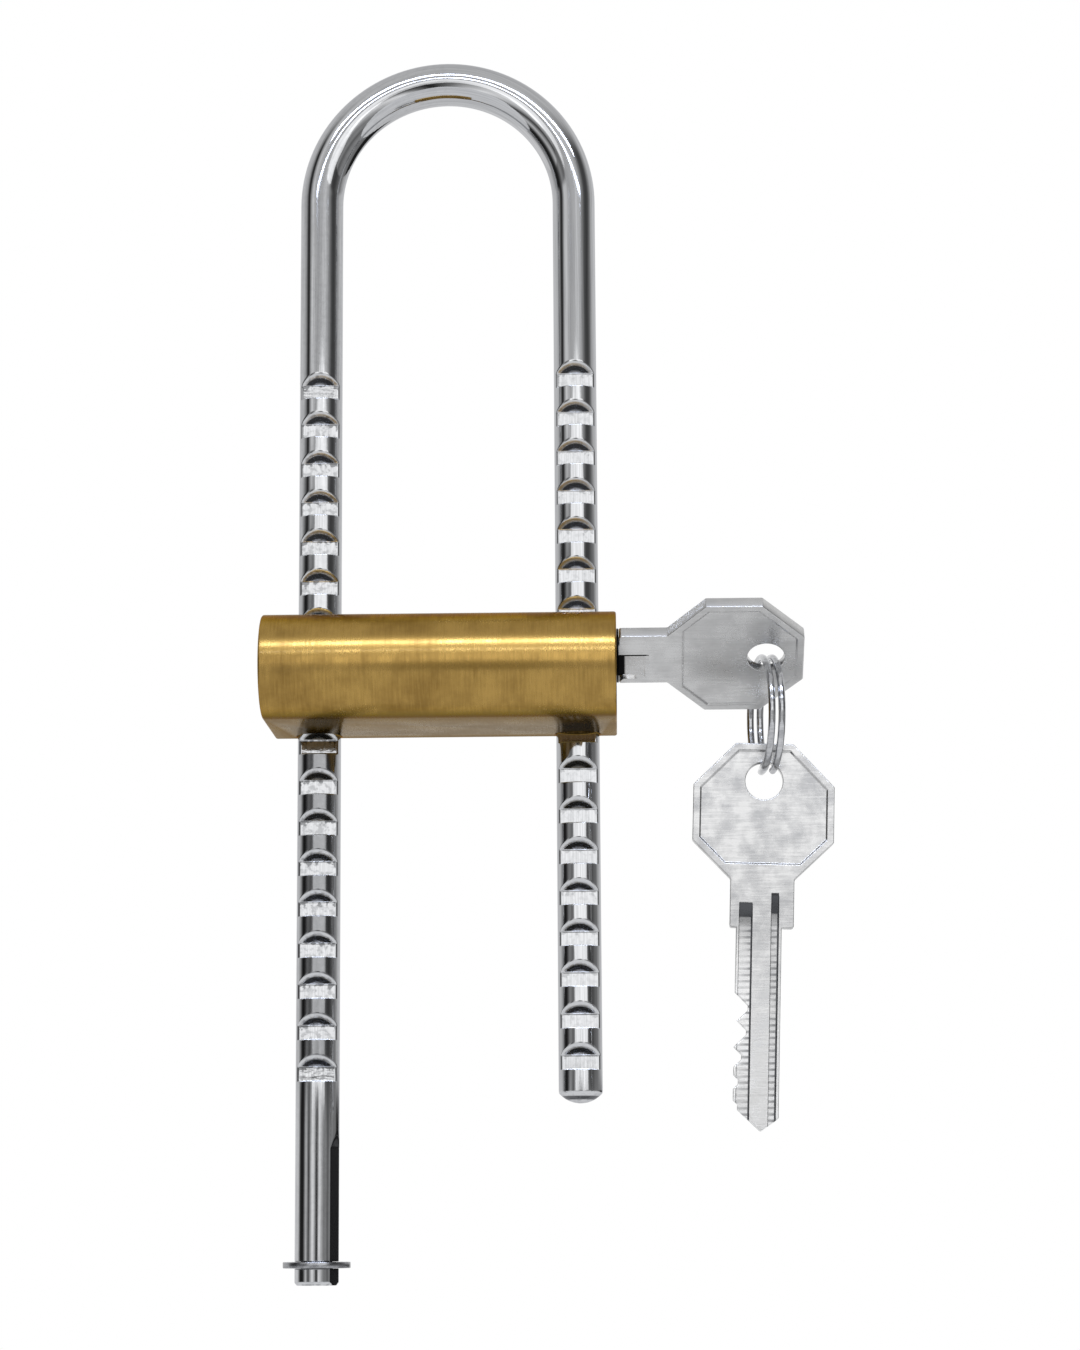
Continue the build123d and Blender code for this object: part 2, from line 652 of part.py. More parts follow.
def spare_key():
    """The spare hangs with its bow up, and its cut edge is to the left, seen from the front."""
    upright = Plane(spare_pivot(), x_dir=(0, 0, 1), z_dir=(0, 1, 0))
    hung = Pos(-KEY_HOLE_X - SPARE_DROP, -SPARE_SHIFT, 0)
    return upright * Rot(0, 0, SPARE_LEAN) * hung * key_solid()


def write(name, shape):
    solids = shape.solids()
    result = solids[0] if len(solids) == 1 else Compound(children=solids)
    export_step(result, f"parts/{name}.step")


def main():
    os.makedirs("parts", exist_ok=True)
    write("shackle", shackle())
    write("retaining_clip", retaining_clip())
    write("lock_body", lock_body())
    write("end_cap", end_cap())
    write("plug_retainer", plug_retainer())
    write("plug", plug())
    write("drive_pin", drive_pin())
    write("key", key())
    for index in range(len(PIN_DEPTHS)):
        number = index + 1
        write(f"key_pin_{number}", key_pin(index))
        write(f"driver_pin_{number}", driver_pin(index))
        write(f"pin_spring_{number}", pin_spring(index))
        write(f"chamber_plug_{number}", chamber_plug(index))
    write("locking_bar", locking_bar())
    write("bolt_right", bolt("right", LEG_X))
    write("bolt_left", bolt("left", -LEG_X))
    write("bar_spring_right", bar_spring(BAR_SPRING_RIGHT_X))
    write("bar_spring_left", bar_spring(BAR_SPRING_LEFT_X))
    write("split_ring", split_ring())
    write("spare_key", spare_key())

    hinge = ring_frame()
    rim = hinge.origin + Vector(0, 0, (RING_D - WIRE_D) / 2 - RING_SEAT)
    print("ring hinge at", rim, "along", hinge.z_dir)
    print("spare key hinge at", spare_pivot())
    print("slide down to the clip", CLIP_Z + CLIP_T / 2 - BODY_BOTTOM)
    print("slide up to the first notch", notch_z("right", 0) - bolt_z("right"))
    print("bar travel back and home", RETRACT_TRAVEL, HOME_TRAVEL)
    print("plug axis", PLUG_Y, PLUG_Z, "bar spring root", SLOT_FRONT_Y - BAR_SPRING_POCKET)


main()
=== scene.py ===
import json
import math
import random

import bmesh
import bpy
import numpy as np
from mathutils import Matrix, Vector
from mathutils.geometry import delaunay_2d_cdt

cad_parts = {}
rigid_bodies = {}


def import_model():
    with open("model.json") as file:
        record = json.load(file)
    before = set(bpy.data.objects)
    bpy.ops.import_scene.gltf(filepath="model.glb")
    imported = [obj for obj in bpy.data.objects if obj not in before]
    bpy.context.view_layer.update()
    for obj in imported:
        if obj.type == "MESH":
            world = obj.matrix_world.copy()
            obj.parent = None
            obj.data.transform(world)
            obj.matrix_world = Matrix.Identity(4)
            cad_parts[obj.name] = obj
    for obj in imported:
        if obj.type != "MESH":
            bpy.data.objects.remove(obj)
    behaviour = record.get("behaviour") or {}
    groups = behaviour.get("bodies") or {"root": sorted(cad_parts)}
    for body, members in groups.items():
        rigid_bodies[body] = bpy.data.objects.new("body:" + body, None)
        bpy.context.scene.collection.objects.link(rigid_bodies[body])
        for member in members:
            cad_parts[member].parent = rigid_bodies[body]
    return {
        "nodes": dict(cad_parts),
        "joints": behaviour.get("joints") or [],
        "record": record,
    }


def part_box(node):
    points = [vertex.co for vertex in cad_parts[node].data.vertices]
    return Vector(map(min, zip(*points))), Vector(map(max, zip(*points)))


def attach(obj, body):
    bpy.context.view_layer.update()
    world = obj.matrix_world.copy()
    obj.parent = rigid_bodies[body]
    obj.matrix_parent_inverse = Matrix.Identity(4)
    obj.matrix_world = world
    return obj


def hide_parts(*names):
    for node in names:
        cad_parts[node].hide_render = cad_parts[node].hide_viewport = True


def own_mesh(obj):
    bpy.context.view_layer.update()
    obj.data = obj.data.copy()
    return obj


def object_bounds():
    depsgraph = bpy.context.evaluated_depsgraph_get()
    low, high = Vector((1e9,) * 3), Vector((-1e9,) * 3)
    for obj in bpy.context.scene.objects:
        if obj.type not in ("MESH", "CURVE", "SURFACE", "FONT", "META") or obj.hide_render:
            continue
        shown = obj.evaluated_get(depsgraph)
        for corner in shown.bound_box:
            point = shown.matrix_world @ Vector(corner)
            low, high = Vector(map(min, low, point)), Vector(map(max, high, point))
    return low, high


# A long shackle padlock: a brushed brass body on a chromed ratchet shackle, with two nickel keys.
# The frame is in metres: +Z up, -Y the front, and the origin at the shackle's inner crown.
# Sizes below are in millimetres, and each mesh is scaled once, when it is placed.

MM = 0.001

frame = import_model()
cad_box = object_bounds()
scene = bpy.context.scene
scene.view_settings.view_transform = "Standard"
hinges = {joint["name"]: Vector(joint["pos_m"]) / MM for joint in frame["joints"] if joint.get("pos_m")}
axes = {joint["name"]: joint["axis"] for joint in frame["joints"]}
ranges = {joint["name"]: [v / MM for v in joint.get("range_m", ())] for joint in frame["joints"]}
slot_of = {part["node"]: part["material_slot"] for part in frame["record"]["subparts"]}
body_of = {node: body for body, nodes in frame["record"]["behaviour"]["bodies"].items() for node in nodes}
mounts = {mount["name"]: Vector(mount["pos_m"]) / MM for mount in frame["record"]["mounts"]}


def low_high(node):
    """A node's lowest and highest corners in millimetres."""
    low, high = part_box(node)
    return low / MM, high / MM


# The photograph's view
PHOTO_HEIGHT_PX = 1350
FOCAL_PX = 3300
SENSOR_H = 24.0
AIM = Vector((15.26, 0.0, -99.5)) * MM
CAMERA_DISTANCE = 550 * MM
CAMERA_AZIMUTH = 1.3
CAMERA_ELEVATION = -9.7
CAMERA_ROLL = 0.35

FLOOR_DROP = 60 * MM
FLOOR_R = 0.5

# Shackle: its rod, toe and end come from the frame, and its notches repeat the solids' sizes
rod_low = low_high("shackle")[0]
ROD_R = -rod_low.y
LEG_X = mounts["shackle_toe"].x
BOW_Z = ROD_R - LEG_X
LONG_END_Z = rod_low.z
TOE_Z = mounts["shackle_toe"].z
TOE_DOME_H = 1.7
TOE_EDGE = 0.25
END_CHAMFER = 0.5
BOW_STEPS = 72
NOTCH_COUNT = 18
NOTCH_PITCH = 6.725
NOTCH_DEPTH = 1.85
NOTCH_FLOOR_H = 2.4
NOTCH_RAMP_H = 1.6
FIRST_NOTCH = 49.5
LEFT_ROW_DROP = 1.6
NOTCH_EDGE = 0.42
NOTCH_FILLET = 0.2
SHOULDER_EDGE = 0.12
NOTCH_PLAY = 0.035
TAIL_FLAT_L = 24.1
TAIL_FLAT_DEPTH = 0.45
TAIL_FLAT_TURN = 20.0
TAIL_FLAT_RUNOUT = 2.2
TAIL_EDGE = 0.12
CLIP_GROOVE_R = 2.5
CLIP_CLEARANCE = 0.06
GROOVE_EDGE = 0.1

# Distance of the close rows of points that keep one stretch's shading apart from the next one's
SUPPORT = 0.06

# Lock body
body_low, body_high = low_high("lock_body")
plug_axis = hinges["plug_turn"]
BODY_LEFT_X = body_low.x
BODY_RIGHT_X = body_high.x
BODY_Z = (body_low.z + body_high.z) / 2
BODY_R = (body_high.z - body_low.z) / 2
FRONT_Y = plug_axis.y
BACK_Y = body_high.y - BODY_R
BODY_EDGE = 0.35
HOLE_EDGE = 0.35
LEG_HOLE_R = ROD_R + 0.1
PLUG_BORE_R = 5.8
MOUTH_EDGE = 0.4
SKIN_STEPS = 72
ROUND_STEPS = 96
BAR_H = 3.8

# Gaps round a fitted piece and round a moving one
FIT = 0.01
ROOM = 0.15

SPRING_WIRE_R = 0.2
SPRING_PITCH = 1.1
SPRING_TURN_STEPS = 24
SPRING_WIRE_SIDES = 8

# Keys: sizes run from the shoulder at X = 0, along the blade to -X and along the bow to +X. The blade's cut
# side is -Y
KEY_T = 2.2
NECK_W = 10.2
NECK_L = 7.75
BOW_L = 21.9
BOW_W = 22.6
BOW_END_W = 9.2
BOW_SHOULDER_L = 6.1
BOW_CORNER_L = 6.8
BOW_RIM = 1.05
BOW_RECESS = 0.25
RECESS_SLOPE = 0.28
PANEL_START = 2.4
KEY_HOLE_R = 3.0
KEY_HOLE_INSET = 6.05
KEY_HOLE_X = NECK_L + BOW_L - KEY_HOLE_INSET
BLADE_L = 32.15
BLADE_CUT_SIDE = 4.05
BLADE_PLAIN_SIDE = 3.2
TIP_PLAIN_L = 2.1
TIP_CUT_L = 3.6
TIP_OFFSET = 0.4
TIP_STEP = 0.35
GROOVE_DEPTH = 0.65
PIN_DEPTHS = (2.1, 1.9, 1.2, 0.75, 0.7)
PIN_NUMBERS = range(1, len(PIN_DEPTHS) + 1)
FIRST_CUT = 12.75
CUT_PITCH = 3.9
CUT_FLAT = 0.7
KEY_LEAN = 53.0
KEY_STANDOFF = 0.4
SPARE_DROP = 1.7
SPARE_SHIFT = 0.45
SPARE_LEAN = 2.0
KEY_EDGE = 0.14
KEY_CORNER = 0.45
TIP_CORNER = 0.3
PANEL_CORNER = 0.3
HOLE_STEPS = 72
CORNER_STEPS = 4

# The keys' grooves, each with its span, its side of the key and how far it runs out into the neck
GROOVES = (
    ((-3.65, -1.45), -1, 4.0),
    ((1.45, 2.75), -1, 5.6),
    ((-4.05, 1.15), 1, 4.9),
)

# Their walls are a little rounded: the share of the full depth at each distance from the wall
WALL_X = (0.0, 0.08, 0.14)
WALL_DEPTH = (0.0, 0.12, 1.0)
NO_WALL = 9.0

# A dark disc behind the key's shoulder that fills the gap with painted shade, with its gaps to the plug's
# face and to the key
SHADE_DISC_R = 4.35
SHADE_DISC_GAPS = (0.02, 0.04)
KEYWAY_ROOM = 0.1

# Marks in the keys' grooves: painted shade in their corners, a cutter's strokes and where in each step a
# stroke lies, the size of the spots where they are fainter, and the length over which the blade turns bright
CORNER_SHADE = 0.3
CUTTER_STEP = 1.0
STROKE_EDGES = (0.26, 0.14)
STROKE_SPOT = 3.0
BLADE_FADE = 9.0
KEY_MARKS = ("groove_depth", "from_wall", "blade")

# Split ring
RING_R = 9.2
WIRE_R = 0.575
WIRE_GAP = 0.45
RING_CROSS_AT = 205.0
RING_CROSS_TURN = 25.0
RING_END_TURN = 4.0
RING_SEAT = 0.12
RING_STEPS = 260
WIRE_STEPS = 20

# Colours as sRGB hex
WHITE = "FFFFFF"
CHROME = "C4C5C7"
CHROME_STREAK = "A9AAAC"
CHROME_EDGE = "E6E6E8"
CHROME_RIM = "CFD0D2"
MILLED_SPOT = "A2A3A5"
# Painted shade on the notches' ramps where they face down
RAMP_PAINTED_SHADE = "4C4D50"
# Painted shade below each ramp's foot
FOOT_PAINTED_SHADE = "7E7F81"
RUBBED = "8C8D8F"
# Painted shadow: the black of the tail's flat and of the dark disc behind the key
SHADOW_BLACK = "0D0D0E"
BRASS = "AE8D4C"
BRASS_DULL = "8E7038"
BRASS_EDGE = "A68F62"
# Painted shade on the body's underside
BRASS_UNDERSIDE_SHADE = "87764C"
TURNED_BRASS = "C4A35F"
NICKEL = "CACACA"
NICKEL_DULL = "B8B8B8"
SPARE_NICKEL = "C8C8C8"
SPARE_DULL = "ABABAB"
BRIGHT_BLADE = "E6E6E6"
# Painted shade in the keys' grooves, in the same colour as the cutter's strokes
KEY_GROOVE_SHADE_AND_MARKS = "101011"
SPARE_GROOVE_SHADE_AND_MARKS = "58595C"
SPRING_STEEL = "C8C9CB"
CLIP_STEEL = "A2A3A6"
CLIP_DULL = "77787B"
HARD_STEEL = "9A9B9F"
STEEL_DULL = "6F7074"
FLOOR = "F1F1EF"

# The rod's marks in millimetres along X, Y and Z: drawing lines, the cutter's marks in the notches, and spots
DRAWN_LINE = (0.25, 0.25, 12.0)
CUTTER_MARK = (3.0, 3.0, 0.5)
SPOT_SIZE = 0.9

# Depth of the drawing lines, and how much deeper the cutter's marks are
DRAWN_DEPTH = 0.004
CUTTER_TO_DRAWN = 1.3

# How strong the marks are on the short leg, and how far the spots also cover the long leg's uncut rod
SHORT_LEG_MARKS = 0.35
SPOTTED_ROD = 0.18

# Depths under the rod's surface over which each of these begins: a cut's edge, a cut, the ramp, and its foot
CUT_DEPTHS = ((0.01, 0.05), (0.05, 0.3), (0.45, 0.7), (1.6, 1.2))

# Painted shade below a ramp's foot: its height at the middle, how fast it grows to the sides, how far it
# wanders, and the width of its edge
FOOT_SHADE_H = 0.15
FOOT_SHADE_SPREAD = 0.075
FOOT_SHADE_WANDER = 4.0
FOOT_SHADE_EDGE = 0.25

# The long leg's front is rubbed dull from under the resting body to the last notch: where it starts and ends
RUBBED_ENDS = ((-107.0, -110.0), (-166.0, -165.0))

# The belt's grit on the brass: a scratch's length in millimetres, and its depth beside the brushed lines
GRIT = 0.3
GRIT_TO_BRUSHED = 1.2

# The brass body's lacquer
LACQUER = 0.15
LACQUER_ROUGHNESS = 0.12
LACQUER_IOR = 1.5

# How bright the room is at the lock's height, by azimuth in degrees from the front to the right
ROOM_LEVELS = (
    (-180, 1.0),
    (-120, 0.85),
    (-110, 0.68),
    (-103, 0.5),
    (-96, 0.25),
    (-90, 0.1),
    (-84, 0.02),
    (-74, 0.02),
    (-67, 0.07),
    (-60, 0.2),
    (-53, 0.34),
    (-46, 0.31),
    (-40, 0.22),
    (-34, 0.22),
    (-28, 0.5),
    (-20, 0.62),
    (0, 0.7),
    (33, 0.75),
    (38, 0.4),
    (42, 0.28),
    (49, 0.1),
    (57, 0.07),
    (65, 0.08),
    (73, 0.11),
    (82, 0.18),
    (91, 0.23),
    (101, 0.25),
    (112, 0.45),
    (126, 0.72),
    (140, 0.9),
    (180, 1.0),
)

# The same above the gear that stands round the table
UPPER_LEVELS = (
    (-180, 1.0),
    (-120, 0.88),
    (-104, 0.76),
    (-92, 0.55),
    (-82, 0.28),
    (-76, 0.05),
    (-66, 0.04),
    (-59, 0.42),
    (-52, 0.85),
    (-45, 1.0),
    (-37, 0.82),
    (-30, 0.68),
    (-21, 0.6),
    (-8, 0.63),
    (0, 0.68),
    (8, 0.8),
    (15, 0.87),
    (22, 0.85),
    (29, 0.75),
    (37, 0.58),
    (45, 0.4),
    (53, 0.22),
    (60, 0.11),
    (70, 0.08),
    (79, 0.1),
    (86, 0.17),
    (94, 0.3),
    (103, 0.58),
    (115, 0.77),
    (127, 0.9),
    (180, 1.0),
)

# The same at table height and below, where table edges and gear stand in front of the room
LOW_LEVELS = (
    (-180, 1.0),
    (-143, 1.05),
    (-111, 0.95),
    (-99, 0.3),
    (-92, 0.03),
    (-76, 0.02),
    (-69, 0.07),
    (-62, 0.42),
    (-55, 0.78),
    (-47, 0.35),
    (-40, 0.05),
    (-33, 0.42),
    (-25, 0.92),
    (-18, 1.25),
    (-11, 0.9),
    (-4, 0.25),
    (2, 0.0),
    (8, 0.25),
    (15, 1.35),
    (22, 0.95),
    (31, 0.54),
    (38, 0.33),
    (50, 0.36),
    (60, 0.18),
    (78, 0.37),
    (95, 0.34),
    (117, 0.23),
    (122, 0.02),
    (148, 0.02),
    (154, 0.9),
    (180, 1.0),
)

# Elevations in degrees between which one part of the room passes into the next
LOW_FROM = 2.2
LOW_TO = 2.8
UPPER_FROM = 11.5
UPPER_TO = 14
CEILING_FROM = 35
CEILING_TO = 62

CEILING_LEVEL = 0.75
FILL_LEVEL = 0.4
LAMP_DISTANCE = 1.3
DAYLIGHT = (1.0, 1.1, 1.35)
FLOOR_GLOW = 0.6
FLOOR_GLOW_IN_METAL = 0.75
FLOOR_RIM = (0.3 * FLOOR_R, 0.95 * FLOOR_R)

# Settings that nodes share
SMOOTH = {"interpolation_type": "SMOOTHSTEP"}
COLOURS = {"data_type": "RGBA"}
PLUS = {"operation": "ADD"}
MINUS = {"operation": "SUBTRACT"}
TIMES = {"operation": "MULTIPLY"}
TIMES_PLUS = {"operation": "MULTIPLY_ADD"}
LARGER = {"operation": "MAXIMUM"}
BELOW = {"operation": "LESS_THAN"}
ANGLE = {"operation": "ARCTAN2"}
LENGTH = {"operation": "LENGTH"}


def linear(code):
    """An sRGB hex colour as linear values, opaque."""
    channels = [int(code[i:i + 2], 16) / 255 for i in (0, 2, 4)]
    curve = [c / 12.92 if c <= 0.04045 else ((c + 0.055) / 1.055) ** 2.4 for c in channels]
    return (*curve, 1.0)


def add(tree, kind, settings=None, **inputs):
    """Adds a node, sets its own settings, and sets or links its inputs by name, or by number as i0, i1."""
    node = tree.nodes.new(kind)
    for name, value in (settings or {}).items():
        setattr(node, name, value)
    for name, value in inputs.items():
        key = int(name[1:]) if name[0] == "i" and name[1:].isdigit() else name.replace("_", " ")
        socket = node.inputs[key]
        if isinstance(value, bpy.types.Node):
            value = value.outputs[0]
        if isinstance(value, bpy.types.NodeSocket):
            tree.links.new(value, socket)
        else:
            socket.default_value = value
    return node


def repeats(sizes):
    """How often marks of a size in millimetres repeat in a metre, along X, Y and Z."""
    return tuple(1 / (size * MM) for size in sizes)


def new_material(name):
    material = bpy.data.materials.new(name)
    material.use_nodes = True
    material.node_tree.nodes.clear()
    return material, material.node_tree


def direction(azimuth, elevation):
    """The unit vector from the lock to a place in the studio. Azimuth counts from the front to the right."""
    a = math.radians(azimuth)
    e = math.radians(elevation)
    return Vector((math.sin(a) * math.cos(e), -math.cos(a) * math.cos(e), math.sin(e)))


def set_camera():
    back = direction(CAMERA_AZIMUTH, CAMERA_ELEVATION)
    data = bpy.data.cameras.new("photo_camera")
    data.sensor_fit = "VERTICAL"
    data.sensor_height = SENSOR_H
    data.lens = FOCAL_PX / PHOTO_HEIGHT_PX * SENSOR_H
    data.clip_start = 0.01
    camera = bpy.data.objects.new("photo_camera", data)
    scene.collection.objects.link(camera)
    level = (-back).to_track_quat("-Z", "Y").to_matrix().to_4x4()
    roll = Matrix.Rotation(math.radians(-CAMERA_ROLL), 4, "Z")
    camera.matrix_world = Matrix.Translation(AIM + back * CAMERA_DISTANCE) @ level @ roll
    scene.camera = camera


def azimuth_ramp(tree, share, levels):
    """A ramp of grey levels by azimuth in degrees."""
    ramp = add(tree, "ShaderNodeValToRGB", Fac=share)
    stops = ramp.color_ramp.elements
    while len(stops) < len(levels):
        stops.new(0.5)
    for stop, (angle, level) in zip(stops, levels):
        stop.position = angle / 360 + 0.5
        stop.color = (level, level, level, 1)
    return ramp


def set_world():
    """The studio that the metals mirror: a white room behind the lock and dark gear round the table in front,
    in three bands of height under a grey ceiling. Dull surfaces get one plain level, and the camera white."""
    world = bpy.data.worlds.new("studio")
    scene.world = world
    world.use_nodes = True
    tree = world.node_tree
    tree.nodes.clear()
    towards = add(tree, "ShaderNodeTexCoord").outputs["Generated"]
    x, y, height = add(tree, "ShaderNodeSeparateXYZ", Vector=towards).outputs
    front = add(tree, "ShaderNodeMath", TIMES, i0=y, i1=-1.0)
    azimuth = add(tree, "ShaderNodeMath", ANGLE, i0=x, i1=front)
    turn = add(tree, "ShaderNodeMapRange", Value=azimuth, From_Min=-math.pi, From_Max=math.pi)
    room = azimuth_ramp(tree, turn, ROOM_LEVELS)
    upper = azimuth_ramp(tree, turn, UPPER_LEVELS)
    low = azimuth_ramp(tree, turn, LOW_LEVELS)
    ceiling = (*[CEILING_LEVEL] * 3, 1)
    for settings, start, end, colour in (
        (None, UPPER_FROM, UPPER_TO, upper),
        (None, LOW_TO, LOW_FROM, low),
        (SMOOTH, CEILING_FROM, CEILING_TO, ceiling),
    ):
        share = add(
            tree,
            "ShaderNodeMapRange",
            settings,
            Value=height,
            From_Min=math.sin(math.radians(start)),
            From_Max=math.sin(math.radians(end)),
        )
        room = add(tree, "ShaderNodeMix", COLOURS, Factor=share, i6=room, i7=colour).outputs[2]
    path = add(tree, "ShaderNodeLightPath").outputs
    fill = (*[FILL_LEVEL] * 3, 1)
    for ray, colour in (("Is Diffuse Ray", fill), ("Is Camera Ray", linear(WHITE))):
        room = add(tree, "ShaderNodeMix", COLOURS, Factor=path[ray], i6=room, i7=colour).outputs[2]
    background = add(tree, "ShaderNodeBackground", Color=room, Strength=1.0)
    add(tree, "ShaderNodeOutputWorld", Surface=background)


def softbox(name, azimuth, elevation, width, height, radiance, colour=(1, 1, 1)):
    """A rectangular soft lamp that faces the lock from a direction in degrees. Its size is in metres."""
    towards = direction(azimuth, elevation)
    data = bpy.data.lights.new(name, "AREA")
    data.shape = "RECTANGLE"
    data.size = width
    data.size_y = height
    data.energy = radiance * math.pi * width * height
    data.color = colour
    lamp = bpy.data.objects.new(name, data)
    scene.collection.objects.link(lamp)
    lamp.location = AIM + towards * LAMP_DISTANCE
    lamp.rotation_euler = (-towards).to_track_quat("-Z", "Y").to_euler()


def set_lights():
    """A wide soft front, and two bright strips above it, whose lines run along the body and the bow."""
    softbox("front_softbox", 7, 8.6, width=1.72, height=0.41, radiance=0.85)
    softbox("strip_softbox", 5, 26, width=1.5, height=0.05, radiance=8.0, colour=DAYLIGHT)
    softbox("high_softbox", 5, 44, width=1.6, height=0.13, radiance=11.0, colour=DAYLIGHT)


def set_floor():
    """A plain pale floor. Its rim turns white, so that it ends in the white background without an edge."""
    mesh = bpy.data.meshes.new("floor")
    maker = bmesh.new()
    bmesh.ops.create_circle(maker, cap_ends=True, radius=FLOOR_R, segments=96)
    maker.to_mesh(mesh)
    maker.free()
    floor = bpy.data.objects.new("floor", mesh)
    scene.collection.objects.link(floor)
    floor.location = (0, 0, cad_box[0][2] - FLOOR_DROP)
    material, tree = new_material("pale_studio_floor")
    spot = add(tree, "ShaderNodeTexCoord").outputs["Object"]
    out = add(tree, "ShaderNodeVectorMath", LENGTH, i0=spot).outputs["Value"]
    rim = add(tree, "ShaderNodeMapRange", SMOOTH, Value=out, From_Min=FLOOR_RIM[0], From_Max=FLOOR_RIM[1])
    path = add(tree, "ShaderNodeLightPath").outputs
    mirrored = add(tree, "ShaderNodeMath", PLUS, i0=path["Is Glossy Ray"], i1=path["Is Transmission Ray"])
    glowing = add(tree, "ShaderNodeMath", TIMES, i0=mirrored, i1=FLOOR_GLOW_IN_METAL)
    glowing = add(tree, "ShaderNodeMath", TIMES_PLUS, i0=path["Is Camera Ray"], i1=FLOOR_GLOW, i2=glowing)
    white_rim = add(tree, "ShaderNodeMath", TIMES, i0=rim, i1=path["Is Camera Ray"])
    glowing = add(tree, "ShaderNodeMath", LARGER, i0=glowing, i1=white_rim)
    shade = add(tree, "ShaderNodeBsdfDiffuse", Color=linear(FLOOR))
    glow = add(tree, "ShaderNodeEmission", Color=linear(WHITE), Strength=1.0)
    both = add(tree, "ShaderNodeMixShader", Fac=glowing, i1=shade, i2=glow)
    add(tree, "ShaderNodeOutputMaterial", Surface=both)
    mesh.materials.append(material)


def bright_chrome():
    """Bright chrome over a cold-drawn steel rod. Faint drawing lines run along the rod and round the bow. The
    milled notches are rippled by the cutter, more so on the long leg. Their ramps are painted dark and rough
    as painted shade, with more painted shade in a band below each ramp's foot. The rims above the ramps are
    burnished, the body's holes have rubbed the long leg's front, and the flat on the tail is painted black as
    a painted shadow."""
    material, tree = new_material("bright_chrome_plate")
    coordinates = add(tree, "ShaderNodeTexCoord").outputs
    spot = coordinates["Object"]
    normal = coordinates["Normal"]
    x, y, z = add(tree, "ShaderNodeSeparateXYZ", Vector=spot).outputs
    above = add(tree, "ShaderNodeMath", MINUS, i0=z, i1=BOW_Z * MM)
    in_bow = add(tree, "ShaderNodeMath", LARGER, i0=above, i1=0.0)
    on_leg = add(tree, "ShaderNodeMath", {"operation": "MINIMUM"}, i0=above, i1=0.0)
    in_plane = add(tree, "ShaderNodeCombineXYZ", X=x, Y=in_bow)
    out = add(tree, "ShaderNodeVectorMath", LENGTH, i0=in_plane).outputs["Value"]
    turn = add(tree, "ShaderNodeMath", ANGLE, i0=in_bow, i1=x)
    along = add(tree, "ShaderNodeMath", TIMES_PLUS, i0=turn, i1=LEG_X * MM, i2=on_leg)
    route = add(tree, "ShaderNodeCombineXYZ", X=out, Y=y, Z=along)
    on_long_leg = add(tree, "ShaderNodeMath", BELOW, i0=x, i1=0.0)

    lines_at = add(tree, "ShaderNodeVectorMath", TIMES, i0=route, i1=repeats(DRAWN_LINE))
    lines = add(tree, "ShaderNodeTexNoise", Vector=lines_at, Scale=1.0, Detail=3.0, Roughness=0.6)

    # How deep a point is under the rod's surface, and how far its face looks down
    beside = add(tree, "ShaderNodeMath", MINUS, i0=out, i1=LEG_X * MM)
    spoke = add(tree, "ShaderNodeCombineXYZ", X=beside, Y=y)
    radius = add(tree, "ShaderNodeVectorMath", LENGTH, i0=spoke).outputs["Value"]
    just_cut, cut, deep, near_foot = (
        add(
            tree,
            "ShaderNodeMapRange",
            SMOOTH,
            Value=radius,
            From_Min=(ROD_R - start) * MM,
            From_Max=(ROD_R - end) * MM,
        )
        for start, end in CUT_DEPTHS
    )
    _, facing_y, facing_z = add(tree, "ShaderNodeSeparateXYZ", Vector=normal).outputs
    down = add(tree, "ShaderNodeMapRange", SMOOTH, Value=facing_z, From_Min=-0.5, From_Max=-0.7)
    tilted = add(tree, "ShaderNodeMapRange", SMOOTH, Value=facing_z, From_Min=-0.06, From_Max=-0.2)
    # Ramps that face down are painted dark and rough: painted shade
    ramp = add(tree, "ShaderNodeMath", TIMES, i0=deep, i1=down)
    ramp = add(tree, "ShaderNodeMath", TIMES, i0=ramp, i1=near_foot)
    rim = add(tree, "ShaderNodeMath", TIMES, i0=tilted, i1=just_cut)
    rim = add(tree, "ShaderNodeMath", {"operation": "SUBTRACT", "use_clamp": True}, i0=rim, i1=ramp)

    # The cutter's marks across the notches, and uneven spots
    marks_at = add(tree, "ShaderNodeVectorMath", TIMES, i0=spot, i1=repeats(CUTTER_MARK))
    marks = add(tree, "ShaderNodeTexNoise", Vector=marks_at, Scale=1.0, Detail=2.0, Roughness=0.55)
    spots = add(tree, "ShaderNodeTexNoise", Vector=spot, Scale=1 / (SPOT_SIZE * MM), Detail=3.0)
    unevenness = add(tree, "ShaderNodeMapRange", Value=on_long_leg, To_Min=SHORT_LEG_MARKS, To_Max=1.0)
    milled = add(tree, "ShaderNodeMath", PLUS, i0=marks, i1=spots)
    for share in (cut, unevenness, unevenness):
        milled = add(tree, "ShaderNodeMath", TIMES, i0=milled, i1=share)
    uncut = add(tree, "ShaderNodeMath", MINUS, i0=1.0, i1=cut)
    drawn = add(tree, "ShaderNodeMath", TIMES, i0=lines, i1=uncut)
    relief = add(tree, "ShaderNodeMath", TIMES_PLUS, i0=milled, i1=CUTTER_TO_DRAWN, i2=drawn)
    bump = add(tree, "ShaderNodeBump", Strength=1.0, Distance=DRAWN_DEPTH * MM, Height=relief)
    uneven = add(tree, "ShaderNodeMath", TIMES, i0=cut, i1=unevenness)
    all_over = add(tree, "ShaderNodeMath", TIMES, i0=on_long_leg, i1=SPOTTED_ROD)
    uneven = add(tree, "ShaderNodeMath", LARGER, i0=uneven, i1=all_over)
    spotted = add(tree, "ShaderNodeMapRange", SMOOTH, Value=spots, From_Min=0.46, From_Max=0.62)
    spotted = add(tree, "ShaderNodeMath", TIMES, i0=spotted, i1=uneven)
